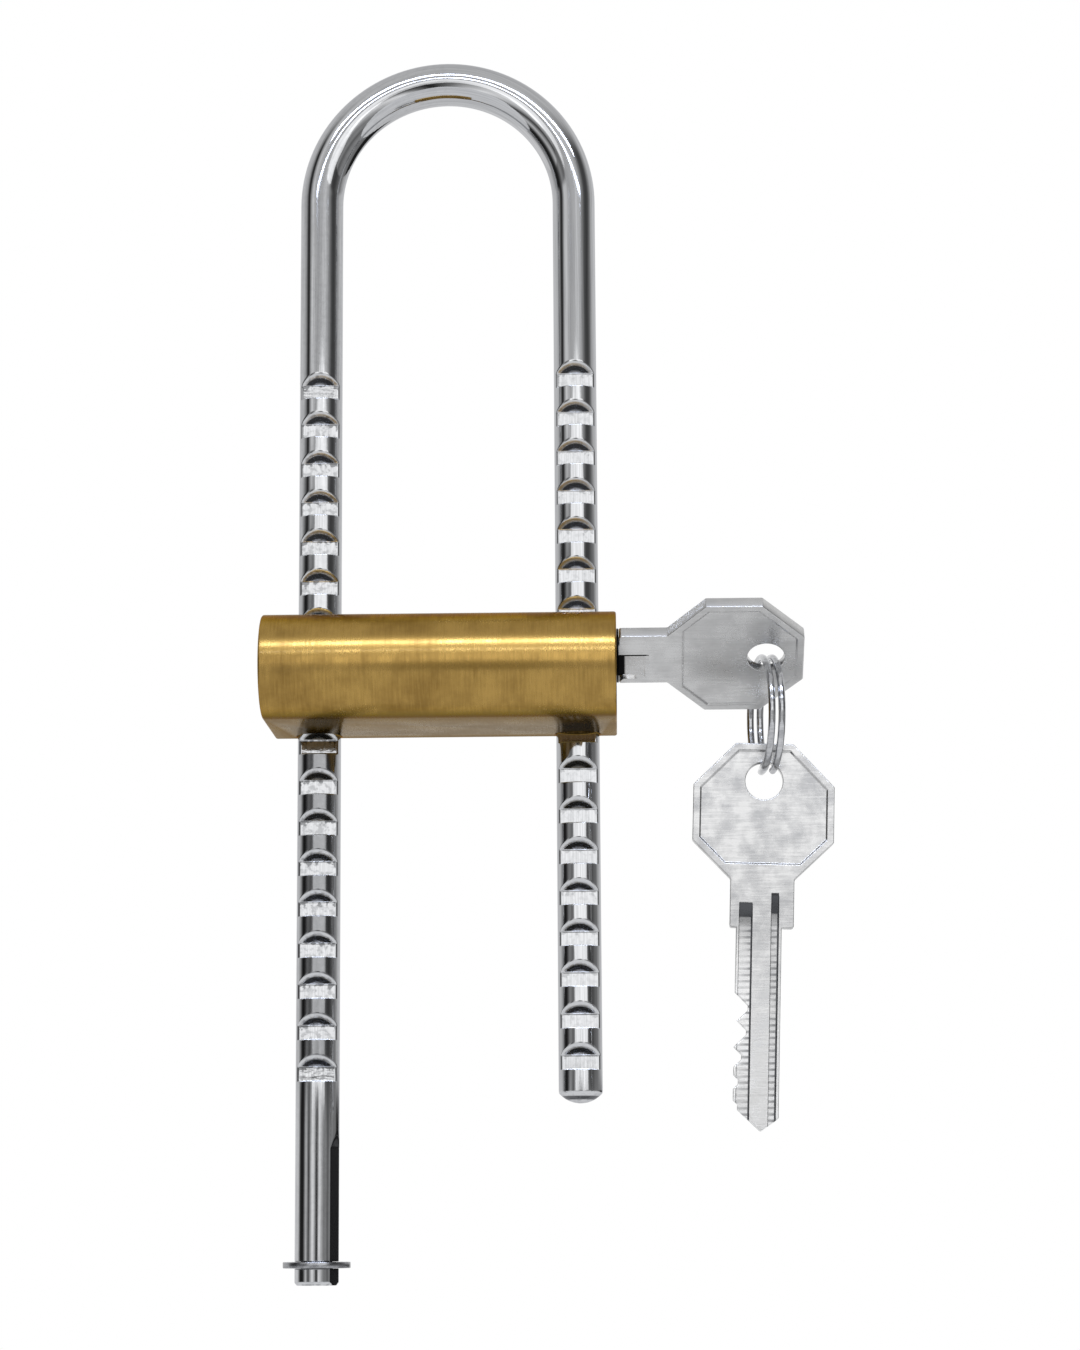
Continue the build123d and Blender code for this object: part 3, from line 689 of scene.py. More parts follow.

    # Painted shade along the foot of each ramp, wider at the sides: how far a point is below the foot
    drop = add(tree, "ShaderNodeMath", TIMES, i0=on_long_leg, i1=LEFT_ROW_DROP * MM)
    height = add(tree, "ShaderNodeMath", PLUS, i0=z, i1=drop)
    first_foot = (FIRST_NOTCH - NOTCH_FLOOR_H / 2) * MM
    below = add(tree, "ShaderNodeMath", TIMES_PLUS, i0=height, i1=-1.0, i2=-first_foot)
    below = add(tree, "ShaderNodeMath", {"operation": "FLOORED_MODULO"}, i0=below, i1=NOTCH_PITCH * MM)
    sideways = add(tree, "ShaderNodeMath", TIMES, i0=beside, i1=beside)
    reach = add(tree, "ShaderNodeMath", TIMES_PLUS, i0=sideways, i1=FOOT_SHADE_SPREAD / MM, i2=FOOT_SHADE_H * MM)
    wander = add(tree, "ShaderNodeMath", MINUS, i0=spots, i1=0.5)
    reach = add(tree, "ShaderNodeMath", TIMES_PLUS, i0=wander, i1=FOOT_SHADE_WANDER * MM, i2=reach)
    within = add(tree, "ShaderNodeMath", MINUS, i0=reach, i1=below)
    foot_shade = add(tree, "ShaderNodeMapRange", SMOOTH, Value=within, From_Min=0.0, From_Max=FOOT_SHADE_EDGE * MM)
    for share in (cut, unevenness):
        foot_shade = add(tree, "ShaderNodeMath", TIMES, i0=foot_shade, i1=share)

    # The lands that the body's holes have rubbed on the long leg
    rubbed = add(tree, "ShaderNodeMapRange", SMOOTH, Value=facing_y, From_Min=-0.72, From_Max=-0.88)
    for start, end in RUBBED_ENDS:
        share = add(tree, "ShaderNodeMapRange", SMOOTH, Value=z, From_Min=start * MM, From_Max=end * MM)
        rubbed = add(tree, "ShaderNodeMath", TIMES, i0=rubbed, i1=share)
    for share in (on_long_leg, uncut):
        rubbed = add(tree, "ShaderNodeMath", TIMES, i0=rubbed, i1=share)

    # The flat on the tail, painted black as a painted shadow
    flat_turn = math.radians(TAIL_FLAT_TURN)
    flat_way = (math.cos(flat_turn), -math.sin(flat_turn), 0.0)
    along_it = add(tree, "ShaderNodeVectorMath", {"operation": "DOT_PRODUCT"}, i0=normal, i1=flat_way)
    facing_it = along_it.outputs["Value"]
    flat_shadow = add(tree, "ShaderNodeMapRange", SMOOTH, Value=facing_it, From_Min=0.96, From_Max=0.985)
    low = add(tree, "ShaderNodeMath", BELOW, i0=z, i1=(LONG_END_Z + TAIL_FLAT_L) * MM)
    for share in (low, just_cut):
        flat_shadow = add(tree, "ShaderNodeMath", TIMES, i0=flat_shadow, i1=share)

    streak = add(tree, "ShaderNodeMapRange", Value=lines, From_Min=0.4, From_Max=0.7, To_Min=0.0, To_Max=0.7)
    tone = linear(CHROME)
    for share, colour in (
        (streak, CHROME_STREAK),
        (rubbed, RUBBED),
        (rim, CHROME_RIM),
        (spotted, MILLED_SPOT),
        (ramp, RAMP_PAINTED_SHADE),
        (foot_shade, FOOT_PAINTED_SHADE),
        (flat_shadow, SHADOW_BLACK),
    ):
        tone = add(tree, "ShaderNodeMix", COLOURS, Factor=share, i6=tone, i7=linear(colour)).outputs[2]
    haze = add(tree, "ShaderNodeMapRange", Value=lines, From_Min=0.35, From_Max=0.75, To_Min=0.03, To_Max=0.1)
    for share, more in ((ramp, 0.2), (rim, 0.25), (flat_shadow, 0.3), (rubbed, 0.08)):
        haze = add(tree, "ShaderNodeMath", TIMES_PLUS, i0=share, i1=more, i2=haze)
    shader = add(
        tree,
        "ShaderNodeBsdfPrincipled",
        Base_Color=tone,
        Metallic=1.0,
        Roughness=haze,
        Specular_Tint=linear(CHROME_EDGE),
        Normal=bump,
    )
    add(tree, "ShaderNodeOutputMaterial", Surface=shader)
    return material


def groove_tone(tree, spot, tone, colour, dark_from, dark_to, hidden, axis):
    """A key's tone: a bright blade, painted shade in the grooves' ends and corners, and the strokes of a
    cutter.
    Grooves are painted dark as painted shade at depths between two shares of their own, and hidden is how
    wide their shaded corner is where they are deepest. The strokes follow each other along an axis."""
    depth, from_wall, blade = (
        add(tree, "ShaderNodeAttribute", {"attribute_name": name}).outputs["Fac"] for name in KEY_MARKS
    )
    tone = add(tree, "ShaderNodeMix", COLOURS, Factor=blade, i6=tone, i7=linear(BRIGHT_BLADE)).outputs[2]
    over = add(tree, "ShaderNodeMapRange", Value=depth, From_Min=dark_from, From_Max=dark_from + 0.02)
    short = add(tree, "ShaderNodeMapRange", Value=depth, From_Min=dark_to + 0.04, From_Max=dark_to)
    dark = add(tree, "ShaderNodeMath", TIMES, i0=over, i1=short)

    reach = add(tree, "ShaderNodeMath", TIMES_PLUS, i0=depth, i1=hidden, i2=CORNER_SHADE)
    within = add(tree, "ShaderNodeMath", MINUS, i0=reach, i1=from_wall)
    corner = add(tree, "ShaderNodeMapRange", Value=within, From_Min=0.0, From_Max=0.05)
    cut = add(tree, "ShaderNodeMapRange", Value=depth, From_Min=0.02, From_Max=0.06)
    corner = add(tree, "ShaderNodeMath", TIMES, i0=corner, i1=cut)

    along = add(tree, "ShaderNodeSeparateXYZ", Vector=spot).outputs[axis]
    step = CUTTER_STEP * MM
    phase = add(tree, "ShaderNodeMath", {"operation": "PINGPONG"}, i0=along, i1=step / 2)
    start, end = STROKE_EDGES
    stroke = add(tree, "ShaderNodeMapRange", Value=phase, From_Min=step * start, From_Max=step * end)
    deep = add(tree, "ShaderNodeMapRange", Value=depth, From_Min=0.97, From_Max=1.0)
    fading = add(
        tree, "ShaderNodeMapRange", Value=from_wall, From_Min=0.2, From_Max=1.8, To_Min=1.0, To_Max=0.4
    )
    spotty = add(tree, "ShaderNodeTexNoise", Vector=spot, Scale=1 / (STROKE_SPOT * MM), Detail=2.0)
    faint = add(
        tree, "ShaderNodeMapRange", Value=spotty, From_Min=0.35, From_Max=0.55, To_Min=0.3, To_Max=0.75
    )
    for share in (deep, fading, faint):
        stroke = add(tree, "ShaderNodeMath", TIMES, i0=stroke, i1=share)
    share = add(tree, "ShaderNodeMath", LARGER, i0=dark, i1=stroke)
    share = add(tree, "ShaderNodeMath", LARGER, i0=share, i1=corner)
    return add(tree, "ShaderNodeMix", COLOURS, Factor=share, i6=tone, i7=linear(colour)).outputs[2]


def worked_metal(
    name, colour, dull, grain, depth, blotch, rough=(0.2, 0.3), brushed=0.0, turned_on=None, grooves=None
):
    """Metal with tool marks. Grain is a mark's size in millimetres along X, Y and Z, or, for turned work,
    along the axis, outwards and round it. Depth is how deep the marks are, and dull is the colour of browned
    or smoky patches, which are as large as blotch. Rough is the roughness of clean and dull parts. Brushed is
    how far belt-brushing draws light out along the body, which is lacquered and whose underside is painted
    darker as painted shade. Grooves says how dark a key's milled grooves are painted as painted shade, and
    where."""
    material, tree = new_material(name)
    coordinates = add(tree, "ShaderNodeTexCoord").outputs
    spot = coordinates["Object"]
    marks_on = spot
    if turned_on:
        centred = add(tree, "ShaderNodeVectorMath", MINUS, i0=spot, i1=turned_on * MM)
        x, y, z = add(tree, "ShaderNodeSeparateXYZ", Vector=centred).outputs
        spoke = add(tree, "ShaderNodeCombineXYZ", Y=y, Z=z)
        out = add(tree, "ShaderNodeVectorMath", LENGTH, i0=spoke).outputs["Value"]
        marks_on = add(tree, "ShaderNodeCombineXYZ", X=x, Y=out)
    marks_at = add(tree, "ShaderNodeVectorMath", TIMES, i0=marks_on, i1=repeats(grain))
    marks = add(tree, "ShaderNodeTexNoise", Vector=marks_at, Scale=1.0, Detail=4.0, Roughness=0.65)
    patches = add(tree, "ShaderNodeTexNoise", Vector=spot, Scale=1 / (blotch * MM), Detail=4.0, Roughness=0.6)
    worn = add(tree, "ShaderNodeMapRange", Value=patches, From_Min=0.35, From_Max=0.7)
    lines = add(tree, "ShaderNodeMapRange", Value=marks, From_Min=0.3, From_Max=0.7, To_Min=-0.3, To_Max=0.3)
    share = add(tree, "ShaderNodeMath", {"operation": "ADD", "use_clamp": True}, i0=worn, i1=lines)
    tone = add(tree, "ShaderNodeMix", COLOURS, Factor=share, i6=linear(colour), i7=linear(dull)).outputs[2]
    haze = add(tree, "ShaderNodeMapRange", Value=share, To_Min=rough[0], To_Max=rough[1])
    extras = {}
    if brushed:
        facing_z = add(tree, "ShaderNodeSeparateXYZ", Vector=coordinates["Normal"]).outputs["Z"]
        # The underside, facing down, is painted darker: painted shade
        under = add(tree, "ShaderNodeMapRange", Value=facing_z, From_Min=-0.9, From_Max=-0.98)
        tone = add(tree, "ShaderNodeMix", COLOURS, Factor=under, i6=tone, i7=linear(BRASS_UNDERSIDE_SHADE)).outputs[2]
        grit = add(tree, "ShaderNodeTexNoise", Vector=spot, Scale=1 / (GRIT * MM), Detail=2.0)
        marks = add(tree, "ShaderNodeMath", TIMES_PLUS, i0=grit, i1=GRIT_TO_BRUSHED, i2=marks)
        extras = {
            "Specular_Tint": linear(BRASS_EDGE),
            "Coat_Weight": LACQUER,
            "Coat_Roughness": LACQUER_ROUGHNESS,
            "Coat_IOR": LACQUER_IOR,
            "Anisotropic": brushed,
            "Anisotropic_Rotation": 0.25,
            "Tangent": add(tree, "ShaderNodeTangent", {"direction_type": "RADIAL", "axis": "X"}),
        }
    if grooves:
        tone = groove_tone(tree, spot, tone, **grooves)
    bump = add(tree, "ShaderNodeBump", Strength=1.0, Distance=depth * MM, Height=marks)
    shader = add(
        tree,
        "ShaderNodeBsdfPrincipled",
        Base_Color=tone,
        Metallic=1.0,
        Roughness=haze,
        Normal=bump,
        **extras,
    )
    add(tree, "ShaderNodeOutputMaterial", Surface=shader)
    return material


def finish_mesh(mesh, sharp_angle):
    """Smooth shading, with hard edges only where two faces meet at more than an angle."""
    maker = bmesh.new()
    maker.from_mesh(mesh)
    bmesh.ops.remove_doubles(maker, verts=maker.verts, dist=1e-7)
    bmesh.ops.recalc_face_normals(maker, faces=maker.faces)
    for face in maker.faces:
        face.smooth = True
    limit = math.radians(sharp_angle)
    for edge in maker.edges:
        edge.smooth = len(edge.link_faces) != 2 or edge.calc_face_angle() < limit
    maker.to_mesh(mesh)
    maker.free()


def place(name, mesh, node, sharp_angle=38.0):
    """Stands a mesh in for a node of the frame: same body, same finish."""
    finish_mesh(mesh, sharp_angle)
    piece = bpy.data.objects.new(name, mesh)
    scene.collection.objects.link(piece)
    mesh.materials.clear()
    mesh.materials.append(finishes[slot_of[node]])
    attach(piece, body_of[node])
    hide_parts(node)
    return piece


def mesh_of(name, points, faces):
    mesh = bpy.data.meshes.new(name)
    mesh.from_pydata([tuple(point) for point in np.asarray(points, float) * MM], [], faces)
    return mesh


def skin(name, rings):
    """A mesh through rings of as many points each, with a flat face at both ends."""
    count = len(rings[0])
    faces = []
    for row in range(len(rings) - 1):
        start = row * count
        for column in range(count):
            after = (column + 1) % count
            faces.append((start + column, start + after, start + count + after, start + count + column))
    last = (len(rings) - 1) * count
    faces.append(tuple(range(count)))
    faces.append(tuple(range(last + count - 1, last - 1, -1)))
    return mesh_of(name, np.concatenate(rings), faces)


def smooth_least(first, second, width):
    """The lesser of two values, with the corner between them rounded over a width."""
    share = np.clip(0.5 + 0.5 * (second - first) / width, 0, 1)
    return second * (1 - share) + first * share - width * share * (1 - share)


def around(low, high, count):
    return np.linspace(low, high, count, endpoint=False)


def eased(share):
    """A share that starts and ends gently."""
    return share * share * (3 - 2 * share)


def wire_section(middle, out, level, radius, sides):
    """Points round a wire."""
    turns = around(0, 2 * math.pi, sides)
    return np.array([tuple(middle + (out * math.cos(a) + level * math.sin(a)) * radius) for a in turns])


# Angles round the rod, from its inner side through the back: close together over the notches and the flat.
# FULL is the radii of the uncut rod
rod_angles = np.radians(np.concatenate([around(-158, -22, 50), around(-22, 26, 14), around(26, 202, 20)]))
facing_front = np.maximum(-np.sin(rod_angles), 0.02)
facing_flat = np.maximum(np.cos(rod_angles + math.radians(TAIL_FLAT_TURN)), 0.02)
FULL = np.full(len(rod_angles), ROD_R)


def cut_to(plane):
    """The rod's radii where a front plane at that distance from the axis cuts it."""
    return smooth_least(FULL, plane / facing_front, NOTCH_EDGE)


def notch_rows(top, floor):
    """One notch from top to bottom: ramp, flat floor, and a square shoulder with rounded edges. Close rows at
    both ends of each stretch keep its shading apart from the next one's."""
    slope = NOTCH_DEPTH / NOTCH_RAMP_H
    reach = (NOTCH_DEPTH + NOTCH_EDGE) / slope
    rows = [(top + reach + SUPPORT, FULL)]
    for up in np.linspace(reach, NOTCH_FILLET * 1.5, 11):
        rows.append((top + up, cut_to(floor + slope * up)))
    for share in (0.66, 0.33, 0.0, -0.33, -0.66, -1.0):
        up = share * NOTCH_FILLET
        rise = slope * (up + NOTCH_FILLET) ** 2 / (4 * NOTCH_FILLET)
        rows.append((top + up, cut_to(floor + rise)))
    bottom = top - NOTCH_FLOOR_H
    deep = cut_to(floor)
    rows.append((top - NOTCH_FILLET - SUPPORT, deep))
    rows.append((bottom + NOTCH_FILLET + SUPPORT, deep))
    for turn in (0, 35, 65, 90):
        a = math.radians(turn)
        out = NOTCH_FILLET * (1 - math.cos(a)) / NOTCH_DEPTH
        rows.append((bottom + NOTCH_FILLET * (1 - math.sin(a)), deep + out * (FULL - deep)))
    for turn in (0, 30, 60, 90):
        a = math.radians(turn)
        out = 1 - SHOULDER_EDGE * (1 - math.sin(a)) / NOTCH_DEPTH
        rows.append((bottom - SHOULDER_EDGE * (1 - math.cos(a)), deep + out * (FULL - deep)))
    rows.append((bottom - SHOULDER_EDGE - SUPPORT, FULL))
    return rows


def ratchet_rows(drop):
    """All the notches of one leg. Each one is milled a little differently."""
    chance = random.Random(5 + int(drop * 10))
    rows = []
    for index in range(NOTCH_COUNT):
        top = -(FIRST_NOTCH + drop + NOTCH_PITCH * index) + NOTCH_FLOOR_H / 2
        top += chance.uniform(-NOTCH_PLAY, NOTCH_PLAY)
        floor = ROD_R - NOTCH_DEPTH + chance.uniform(-NOTCH_PLAY, NOTCH_PLAY)
        rows += notch_rows(top, floor)
    return rows


def tail_rows():
    """The long leg's end: the shallow flat, the clip's groove and the stub."""
    start = LONG_END_Z + TAIL_FLAT_L
    slope = TAIL_FLAT_DEPTH / TAIL_FLAT_RUNOUT
    rows = [(start + TAIL_EDGE / slope + SUPPORT, FULL)]
    for down in np.linspace(-TAIL_EDGE / slope, TAIL_FLAT_RUNOUT, 9):
        rows.append((start - down, smooth_least(FULL, (ROD_R - slope * down) / facing_flat, TAIL_EDGE)))
    flat = rows[-1][1]
    clip_low, clip_high = low_high("retaining_clip")
    top = clip_high.z + CLIP_CLEARANCE
    bottom = clip_low.z - CLIP_CLEARANCE
    rows += [(start - TAIL_FLAT_RUNOUT - SUPPORT, flat), (top + GROOVE_EDGE + SUPPORT, flat)]
    wall = [(GROOVE_EDGE, ROD_R), (GROOVE_EDGE * 0.3, ROD_R - GROOVE_EDGE * 0.3), (0, ROD_R - GROOVE_EDGE)]
    core = [(0, CLIP_GROOVE_R + GROOVE_EDGE), (-GROOVE_EDGE, CLIP_GROOVE_R)]
    rows += [(top + up, np.minimum(flat, radius)) for up, radius in wall + core]
    rows += [(bottom - up, np.minimum(flat, radius)) for up, radius in reversed(wall + core)]
    rows += [(bottom - GROOVE_EDGE - SUPPORT, flat), (LONG_END_Z + END_CHAMFER * 1.2 + SUPPORT, flat)]
    for share, under in ((1.2, 0), (1, 0.03), (0.8, 0.12), (0.2, 0.62), (0.06, 0.72), (0, 0.8), (0, 2.2)):
        height = LONG_END_Z + END_CHAMFER * share
        rows.append((height, np.minimum(flat, ROD_R - END_CHAMFER * under)))
    return rows


def toe_rows():
    """The short leg's end: a shallow dome with a rounded edge."""
    dome_r = (ROD_R**2 + TOE_DOME_H**2) / (2 * TOE_DOME_H)
    edge = TOE_Z + TOE_DOME_H
    rows = [(edge + TOE_EDGE + SUPPORT, FULL), (edge + TOE_EDGE, FULL), (edge + TOE_EDGE * 0.3, FULL * 0.994)]
    for share in (0.97, 0.92, 0.85, 0.7, 0.5, 0.3, 0.1):
        radius = ROD_R * share
        rows.append((TOE_Z + dome_r - math.sqrt(dome_r**2 - radius**2), FULL * share))
    return rows


def rod_ring(x, z, inward, radii):
    """Points round the rod's axis. Inward is the direction towards the bow's middle, as X and Z."""
    across = radii * np.cos(rod_angles)
    return np.stack([x + inward[0] * across, radii * np.sin(rod_angles), z + inward[1] * across], axis=1)


def make_shackle():
    long_leg = ratchet_rows(LEFT_ROW_DROP) + tail_rows()
    short_leg = ratchet_rows(0) + toe_rows()
    rings = [rod_ring(-LEG_X, z, (1, 0), radii) for z, radii in reversed(long_leg)]
    for angle in np.linspace(math.pi, 0, BOW_STEPS + 1):
        x, z = math.cos(angle), math.sin(angle)
        rings.append(rod_ring(x * LEG_X, BOW_Z + z * LEG_X, (-x, -z), FULL))
    rings += [rod_ring(LEG_X, z, (-1, 0), radii) for z, radii in short_leg]
    place("ratchet_shackle", skin("ratchet_shackle", rings), "shackle")


def body_section(x, under):
    """The bar's section, drawn in under its surface, as a ring of points: half-round front and back."""
    radius = BODY_R - under
    turns = np.linspace(-math.pi / 2, math.pi / 2, SKIN_STEPS + 1)
    front = [(x, FRONT_Y - radius * math.cos(a), BODY_Z + radius * math.sin(a)) for a in turns]
    back = [(x, BACK_Y + radius * math.cos(a), BODY_Z - radius * math.sin(a)) for a in turns]
    return np.array(front + back)


def turned(name, stations, origin, axis):
    """A solid of revolution from pairs of distance along the axis and radius."""
    turns = around(0, 2 * math.pi, ROUND_STEPS)
    side = {"X": (1, 2, 0), "Y": (2, 0, 1), "Z": (0, 1, 2)}[axis]
    rings = []
    for along, radius in stations:
        ring = np.zeros((ROUND_STEPS, 3))
        ring[:, side[0]] = radius * np.cos(turns)
        ring[:, side[1]] = radius * np.sin(turns)
        ring[:, side[2]] = along
        rings.append(ring + np.array(origin))
    return skin(name, rings)


def block(name, x_span, y_span, z_span):
    corners = [(x, y, z) for x in x_span for y in y_span for z in z_span]
    faces = [(0, 1, 3, 2), (4, 6, 7, 5), (0, 4, 5, 1), (2, 3, 7, 6), (0, 2, 6, 4), (1, 5, 7, 3)]
    return mesh_of(name, corners, faces)


def flared(low, high, radius, edge, low_mouth=True):
    """Stations of a hole whose mouths are rounded over an edge."""
    top = []
    for turn in (0, 30, 60, 90):
        a = math.radians(turn)
        top.append((high - edge + edge * math.sin(a), radius + edge * (1 - math.cos(a))))
    top.append((high + BODY_R, radius + edge))
    if not low_mouth:
        return [(low, radius)] + top
    return [(low + high - along, wide) for along, wide in reversed(top)] + top


def hole_for(node, start, end):
    """A cutter for the hole that a round piece fills, along Y."""
    low, high = low_high(node)
    middle = (low + high) / 2
    radius = middle.x - low.x + FIT
    return turned(f"hole_for_{node}", [(start, radius), (end, radius)], (middle.x, 0, middle.z), "Y")


def cut_away(mesh, cutters):
    """The mesh less all the cutters."""
    solid = bpy.data.objects.new("solid", mesh)
    scene.collection.objects.link(solid)
    tools = bpy.data.collections.new("cutters")
    scene.collection.children.link(tools)
    for cutter in cutters:
        tools.objects.link(bpy.data.objects.new(cutter.name, cutter))
    for item in [mesh] + cutters:
        finish_mesh(item, 30)
    step = solid.modifiers.new("cut", "BOOLEAN")
    step.operand_type = "COLLECTION"
    step.collection = tools
    step.solver = "EXACT"
    seen = solid.evaluated_get(bpy.context.evaluated_depsgraph_get())
    result = bpy.data.meshes.new_from_object(seen)
    for tool in list(tools.objects):
        bpy.data.objects.remove(tool)
    bpy.data.collections.remove(tools)
    bpy.data.objects.remove(solid)
    return result


def make_body():
    turns = [math.radians(turn) for turn in (0, 30, 60, 90)]
    rounding = [(BODY_EDGE * (1 - math.cos(a)), BODY_EDGE * (1 - math.sin(a))) for a in turns]
    rings = [body_section(BODY_LEFT_X + along, under) for along, under in rounding]
    rings += [body_section(BODY_RIGHT_X - along, under) for along, under in reversed(rounding)]
    leg_hole = flared(BODY_Z - BODY_R, BODY_Z + BODY_R, LEG_HOLE_R, HOLE_EDGE)
    cutters = [turned("leg_hole", leg_hole, (x, 0, 0), "Z") for x in (-LEG_X, LEG_X)]
    plug_bore = flared(low_high("plug")[0].x - 1, BODY_RIGHT_X, PLUG_BORE_R, MOUTH_EDGE, low_mouth=False)
    cutters.append(turned("plug_bore", plug_bore, (0, plug_axis.y, plug_axis.z), "X"))
    behind = BACK_Y + 2 * BODY_R
    cutters += [hole_for(f"chamber_plug_{number}", plug_axis.y, behind) for number in PIN_NUMBERS]
    cutters.append(hole_for("plug_retainer", low_high("plug_retainer")[0].y - FIT, behind))
    cutters += body_hollows()
    place("brass_body", cut_away(skin("brass_body", rings), cutters), "lock_body")


def body_hollows():
    """The closed spaces inside the body: cap recess, bar slot, fork room, bolt windows, spring pockets."""
    cap_low, cap_high = low_high("end_cap")
    bar_low, bar_high = low_high("locking_bar")
    travel_back, travel_home = ranges["bar_slide"]
    front = low_high("bar_spring_right")[1].y + travel_back - ROOM
    back = bar_high.y + travel_home + ROOM
    under = BODY_R - (cap_high.z - cap_low.z) / 2 - FIT
    hollows = [skin("cap_recess", [body_section(x, under) for x in (BODY_LEFT_X - 1, cap_high.x + FIT)])]
    z_span = (bar_low.z - ROOM, bar_low.z + BAR_H + ROOM)
    hollows.append(block("bar_slot", (cap_low.x + FIT, bar_high.x + ROOM), (front, back), z_span))
    y_span = (bar_low.y + travel_back - ROOM, back)
    z_span = (bar_low.z - ROOM, bar_high.z + ROOM)
    hollows.append(block("fork_room", (cap_low.x + FIT, low_high("plug")[0].x), y_span, z_span))
    for side in ("left", "right"):
        low, high = low_high(f"bolt_{side}")
        z_span = (low.z - ROOM, high.z + ROOM)
        y_span = (front, high.y + travel_home + ROOM)
        hollows.append(block("bolt_window", (low.x - ROOM, high.x + ROOM), y_span, z_span))
        spring = f"bar_spring_{side}"
        hollows.append(hole_for(spring, low_high(spring)[0].y - FIT, front + ROOM))
    return hollows


def to_frame(origin, along, across):
    """The matrix of a plane's own directions."""
    columns = Matrix((along, across, along.cross(across))).transposed().to_4x4()
    return Matrix.Translation(origin) @ columns


def in_keyway(x):
    """The plane of the key that is in the lock, with its origin that far along the plug's axis."""
    lean = math.radians(KEY_LEAN)
    across = Vector((0, -math.sin(lean), math.cos(lean)))
    return to_frame(Vector((x, plug_axis.y, plug_axis.z)), Vector((1, 0, 0)), across)


def cut_line():
    """The blade's cut edge from the neck to the tip: flat-bottomed valleys with sides at 45 degrees."""
    half = CUT_FLAT / 2
    edge = -BLADE_CUT_SIDE
    floors = [(-(FIRST_CUT + CUT_PITCH * index), edge + depth) for index, depth in enumerate(PIN_DEPTHS)]
    x, root = floors[0]
    line = [(x + half + root - edge, edge)]
    for (x, root), (after, next_root) in zip(floors, floors[1:]):
        line += [(x + half, root), (x - half, root)]
        span = (x - half) - (after + half)
        fall = (span + root - next_root) / 2
        if root - fall > edge:
            line.append((x - half - fall, root - fall))
        else:
            line += [(x - half - (root - edge), edge), (after + half + next_root - edge, edge)]
    x, root = floors[-1]
    trim_rise = (TIP_OFFSET - edge - TIP_STEP) / TIP_CUT_L
    trim_x = -BLADE_L + TIP_CUT_L - (root - edge - TIP_STEP) / trim_rise
    return line + [(x + half, root), (x - half, root), (trim_x, root)]


def bow_corners():
    """The bow's corners, clockwise from the neck's plain side."""
    end = NECK_L + BOW_L
    plain_side = [
        (NECK_L, NECK_W / 2),
        (NECK_L + BOW_SHOULDER_L, BOW_W / 2),
        (end - BOW_CORNER_L, BOW_W / 2),
        (end, BOW_END_W / 2),
    ]
    return plain_side + [(x, -y) for x, y in reversed(plain_side)]


def key_outline():
    """The key's outline, once round: neck and bow on the plain side first, then the cut edge and the tip."""
    corners = [(point, KEY_CORNER) for point in [(0, NECK_W / 2)] + bow_corners() + [(0, -NECK_W / 2)]]
    corners += [(point, 0) for point in [(0, -BLADE_CUT_SIDE)] + cut_line()]
    corners.append(((-BLADE_L, TIP_OFFSET), TIP_CORNER))
    corners.append(((-BLADE_L + TIP_PLAIN_L, BLADE_PLAIN_SIDE), TIP_CORNER))
    corners.append(((0, BLADE_PLAIN_SIDE), 0))
    return rounded(corners)


def rounded(corners):
    """An outline from corners that each have a rounding radius."""
    points = []
    count = len(corners)
    for index, (corner, radius) in enumerate(corners):
        corner = Vector(corner)
        if not radius:
            points.append(corner)
            continue
        before = (Vector(corners[index - 1][0]) - corner).normalized()
        after = (Vector(corners[(index + 1) % count][0]) - corner).normalized()
        half = before.angle(after) / 2
        reach = radius / math.tan(half)
        for step in range(CORNER_STEPS + 1):
            t = step / CORNER_STEPS
            start = corner + before * reach
            end = corner + after * reach
            points.append(start * (1 - t) ** 2 + corner * 2 * t * (1 - t) + end * t**2)
    return points


def drawn_in(points, distance):
    """A closed outline moved inwards, for an outline that runs clockwise."""
    moved = []
    for index, point in enumerate(points):
        before = (point - points[index - 1]).normalized()
        after = (points[(index + 1) % len(points)] - point).normalized()
        normal = Vector((before.y + after.y, -(before.x + after.x)))
        normal.normalize()
        side = Vector((before.y, -before.x))
        moved.append(point + normal * distance / max(0.4, normal.dot(side)))
    return moved


def round_key_hole(radius):
    """A circle round the middle of the bow's hole."""
    turns = around(0, 2 * math.pi, HOLE_STEPS)
    return [Vector((KEY_HOLE_X + radius * math.cos(a), radius * math.sin(a))) for a in turns]


def distance_to(outline, points):
    """Each point's distance to a closed outline."""
    start = np.array([tuple(point) for point in outline])
    run = np.roll(start, -1, axis=0) - start
    away = points[:, None, :] - start[None, :, :]
    share = np.clip((away * run).sum(2) / (run * run).sum(1), 0, 1)
    return np.linalg.norm(away - share[:, :, None] * run, axis=2).min(1)


def inside(outline, points):
    """Which points lie inside a closed outline."""
    start = np.array([tuple(point) for point in outline])
    end = np.roll(start, -1, axis=0)
    x, y = points[:, 0:1], points[:, 1:2]
    spans = (start[:, 1] > y) != (end[:, 1] > y)
    rise = np.where(end[:, 1] == start[:, 1], 1e-9, end[:, 1] - start[:, 1])
    crossing = start[:, 0] + (y - start[:, 1]) * (end[:, 0] - start[:, 0]) / rise
    return ((spans & (x < crossing)).sum(1) % 2) == 1


def panel_outline():
    """The shallow panel inside the bow's rim, clockwise."""
    small = drawn_in([Vector(corner) for corner in bow_corners()], BOW_RIM)
    left = NECK_L + PANEL_START
    slope = (small[1] - small[0]).normalized()
    corner = small[0] + slope * (left - small[0].x) / slope.x
    plain_side = [corner, *small[1:4]]
    cut_side = [Vector((point.x, -point.y)) for point in reversed(plain_side)]
    return rounded([(point, PANEL_CORNER) for point in plain_side + cut_side])


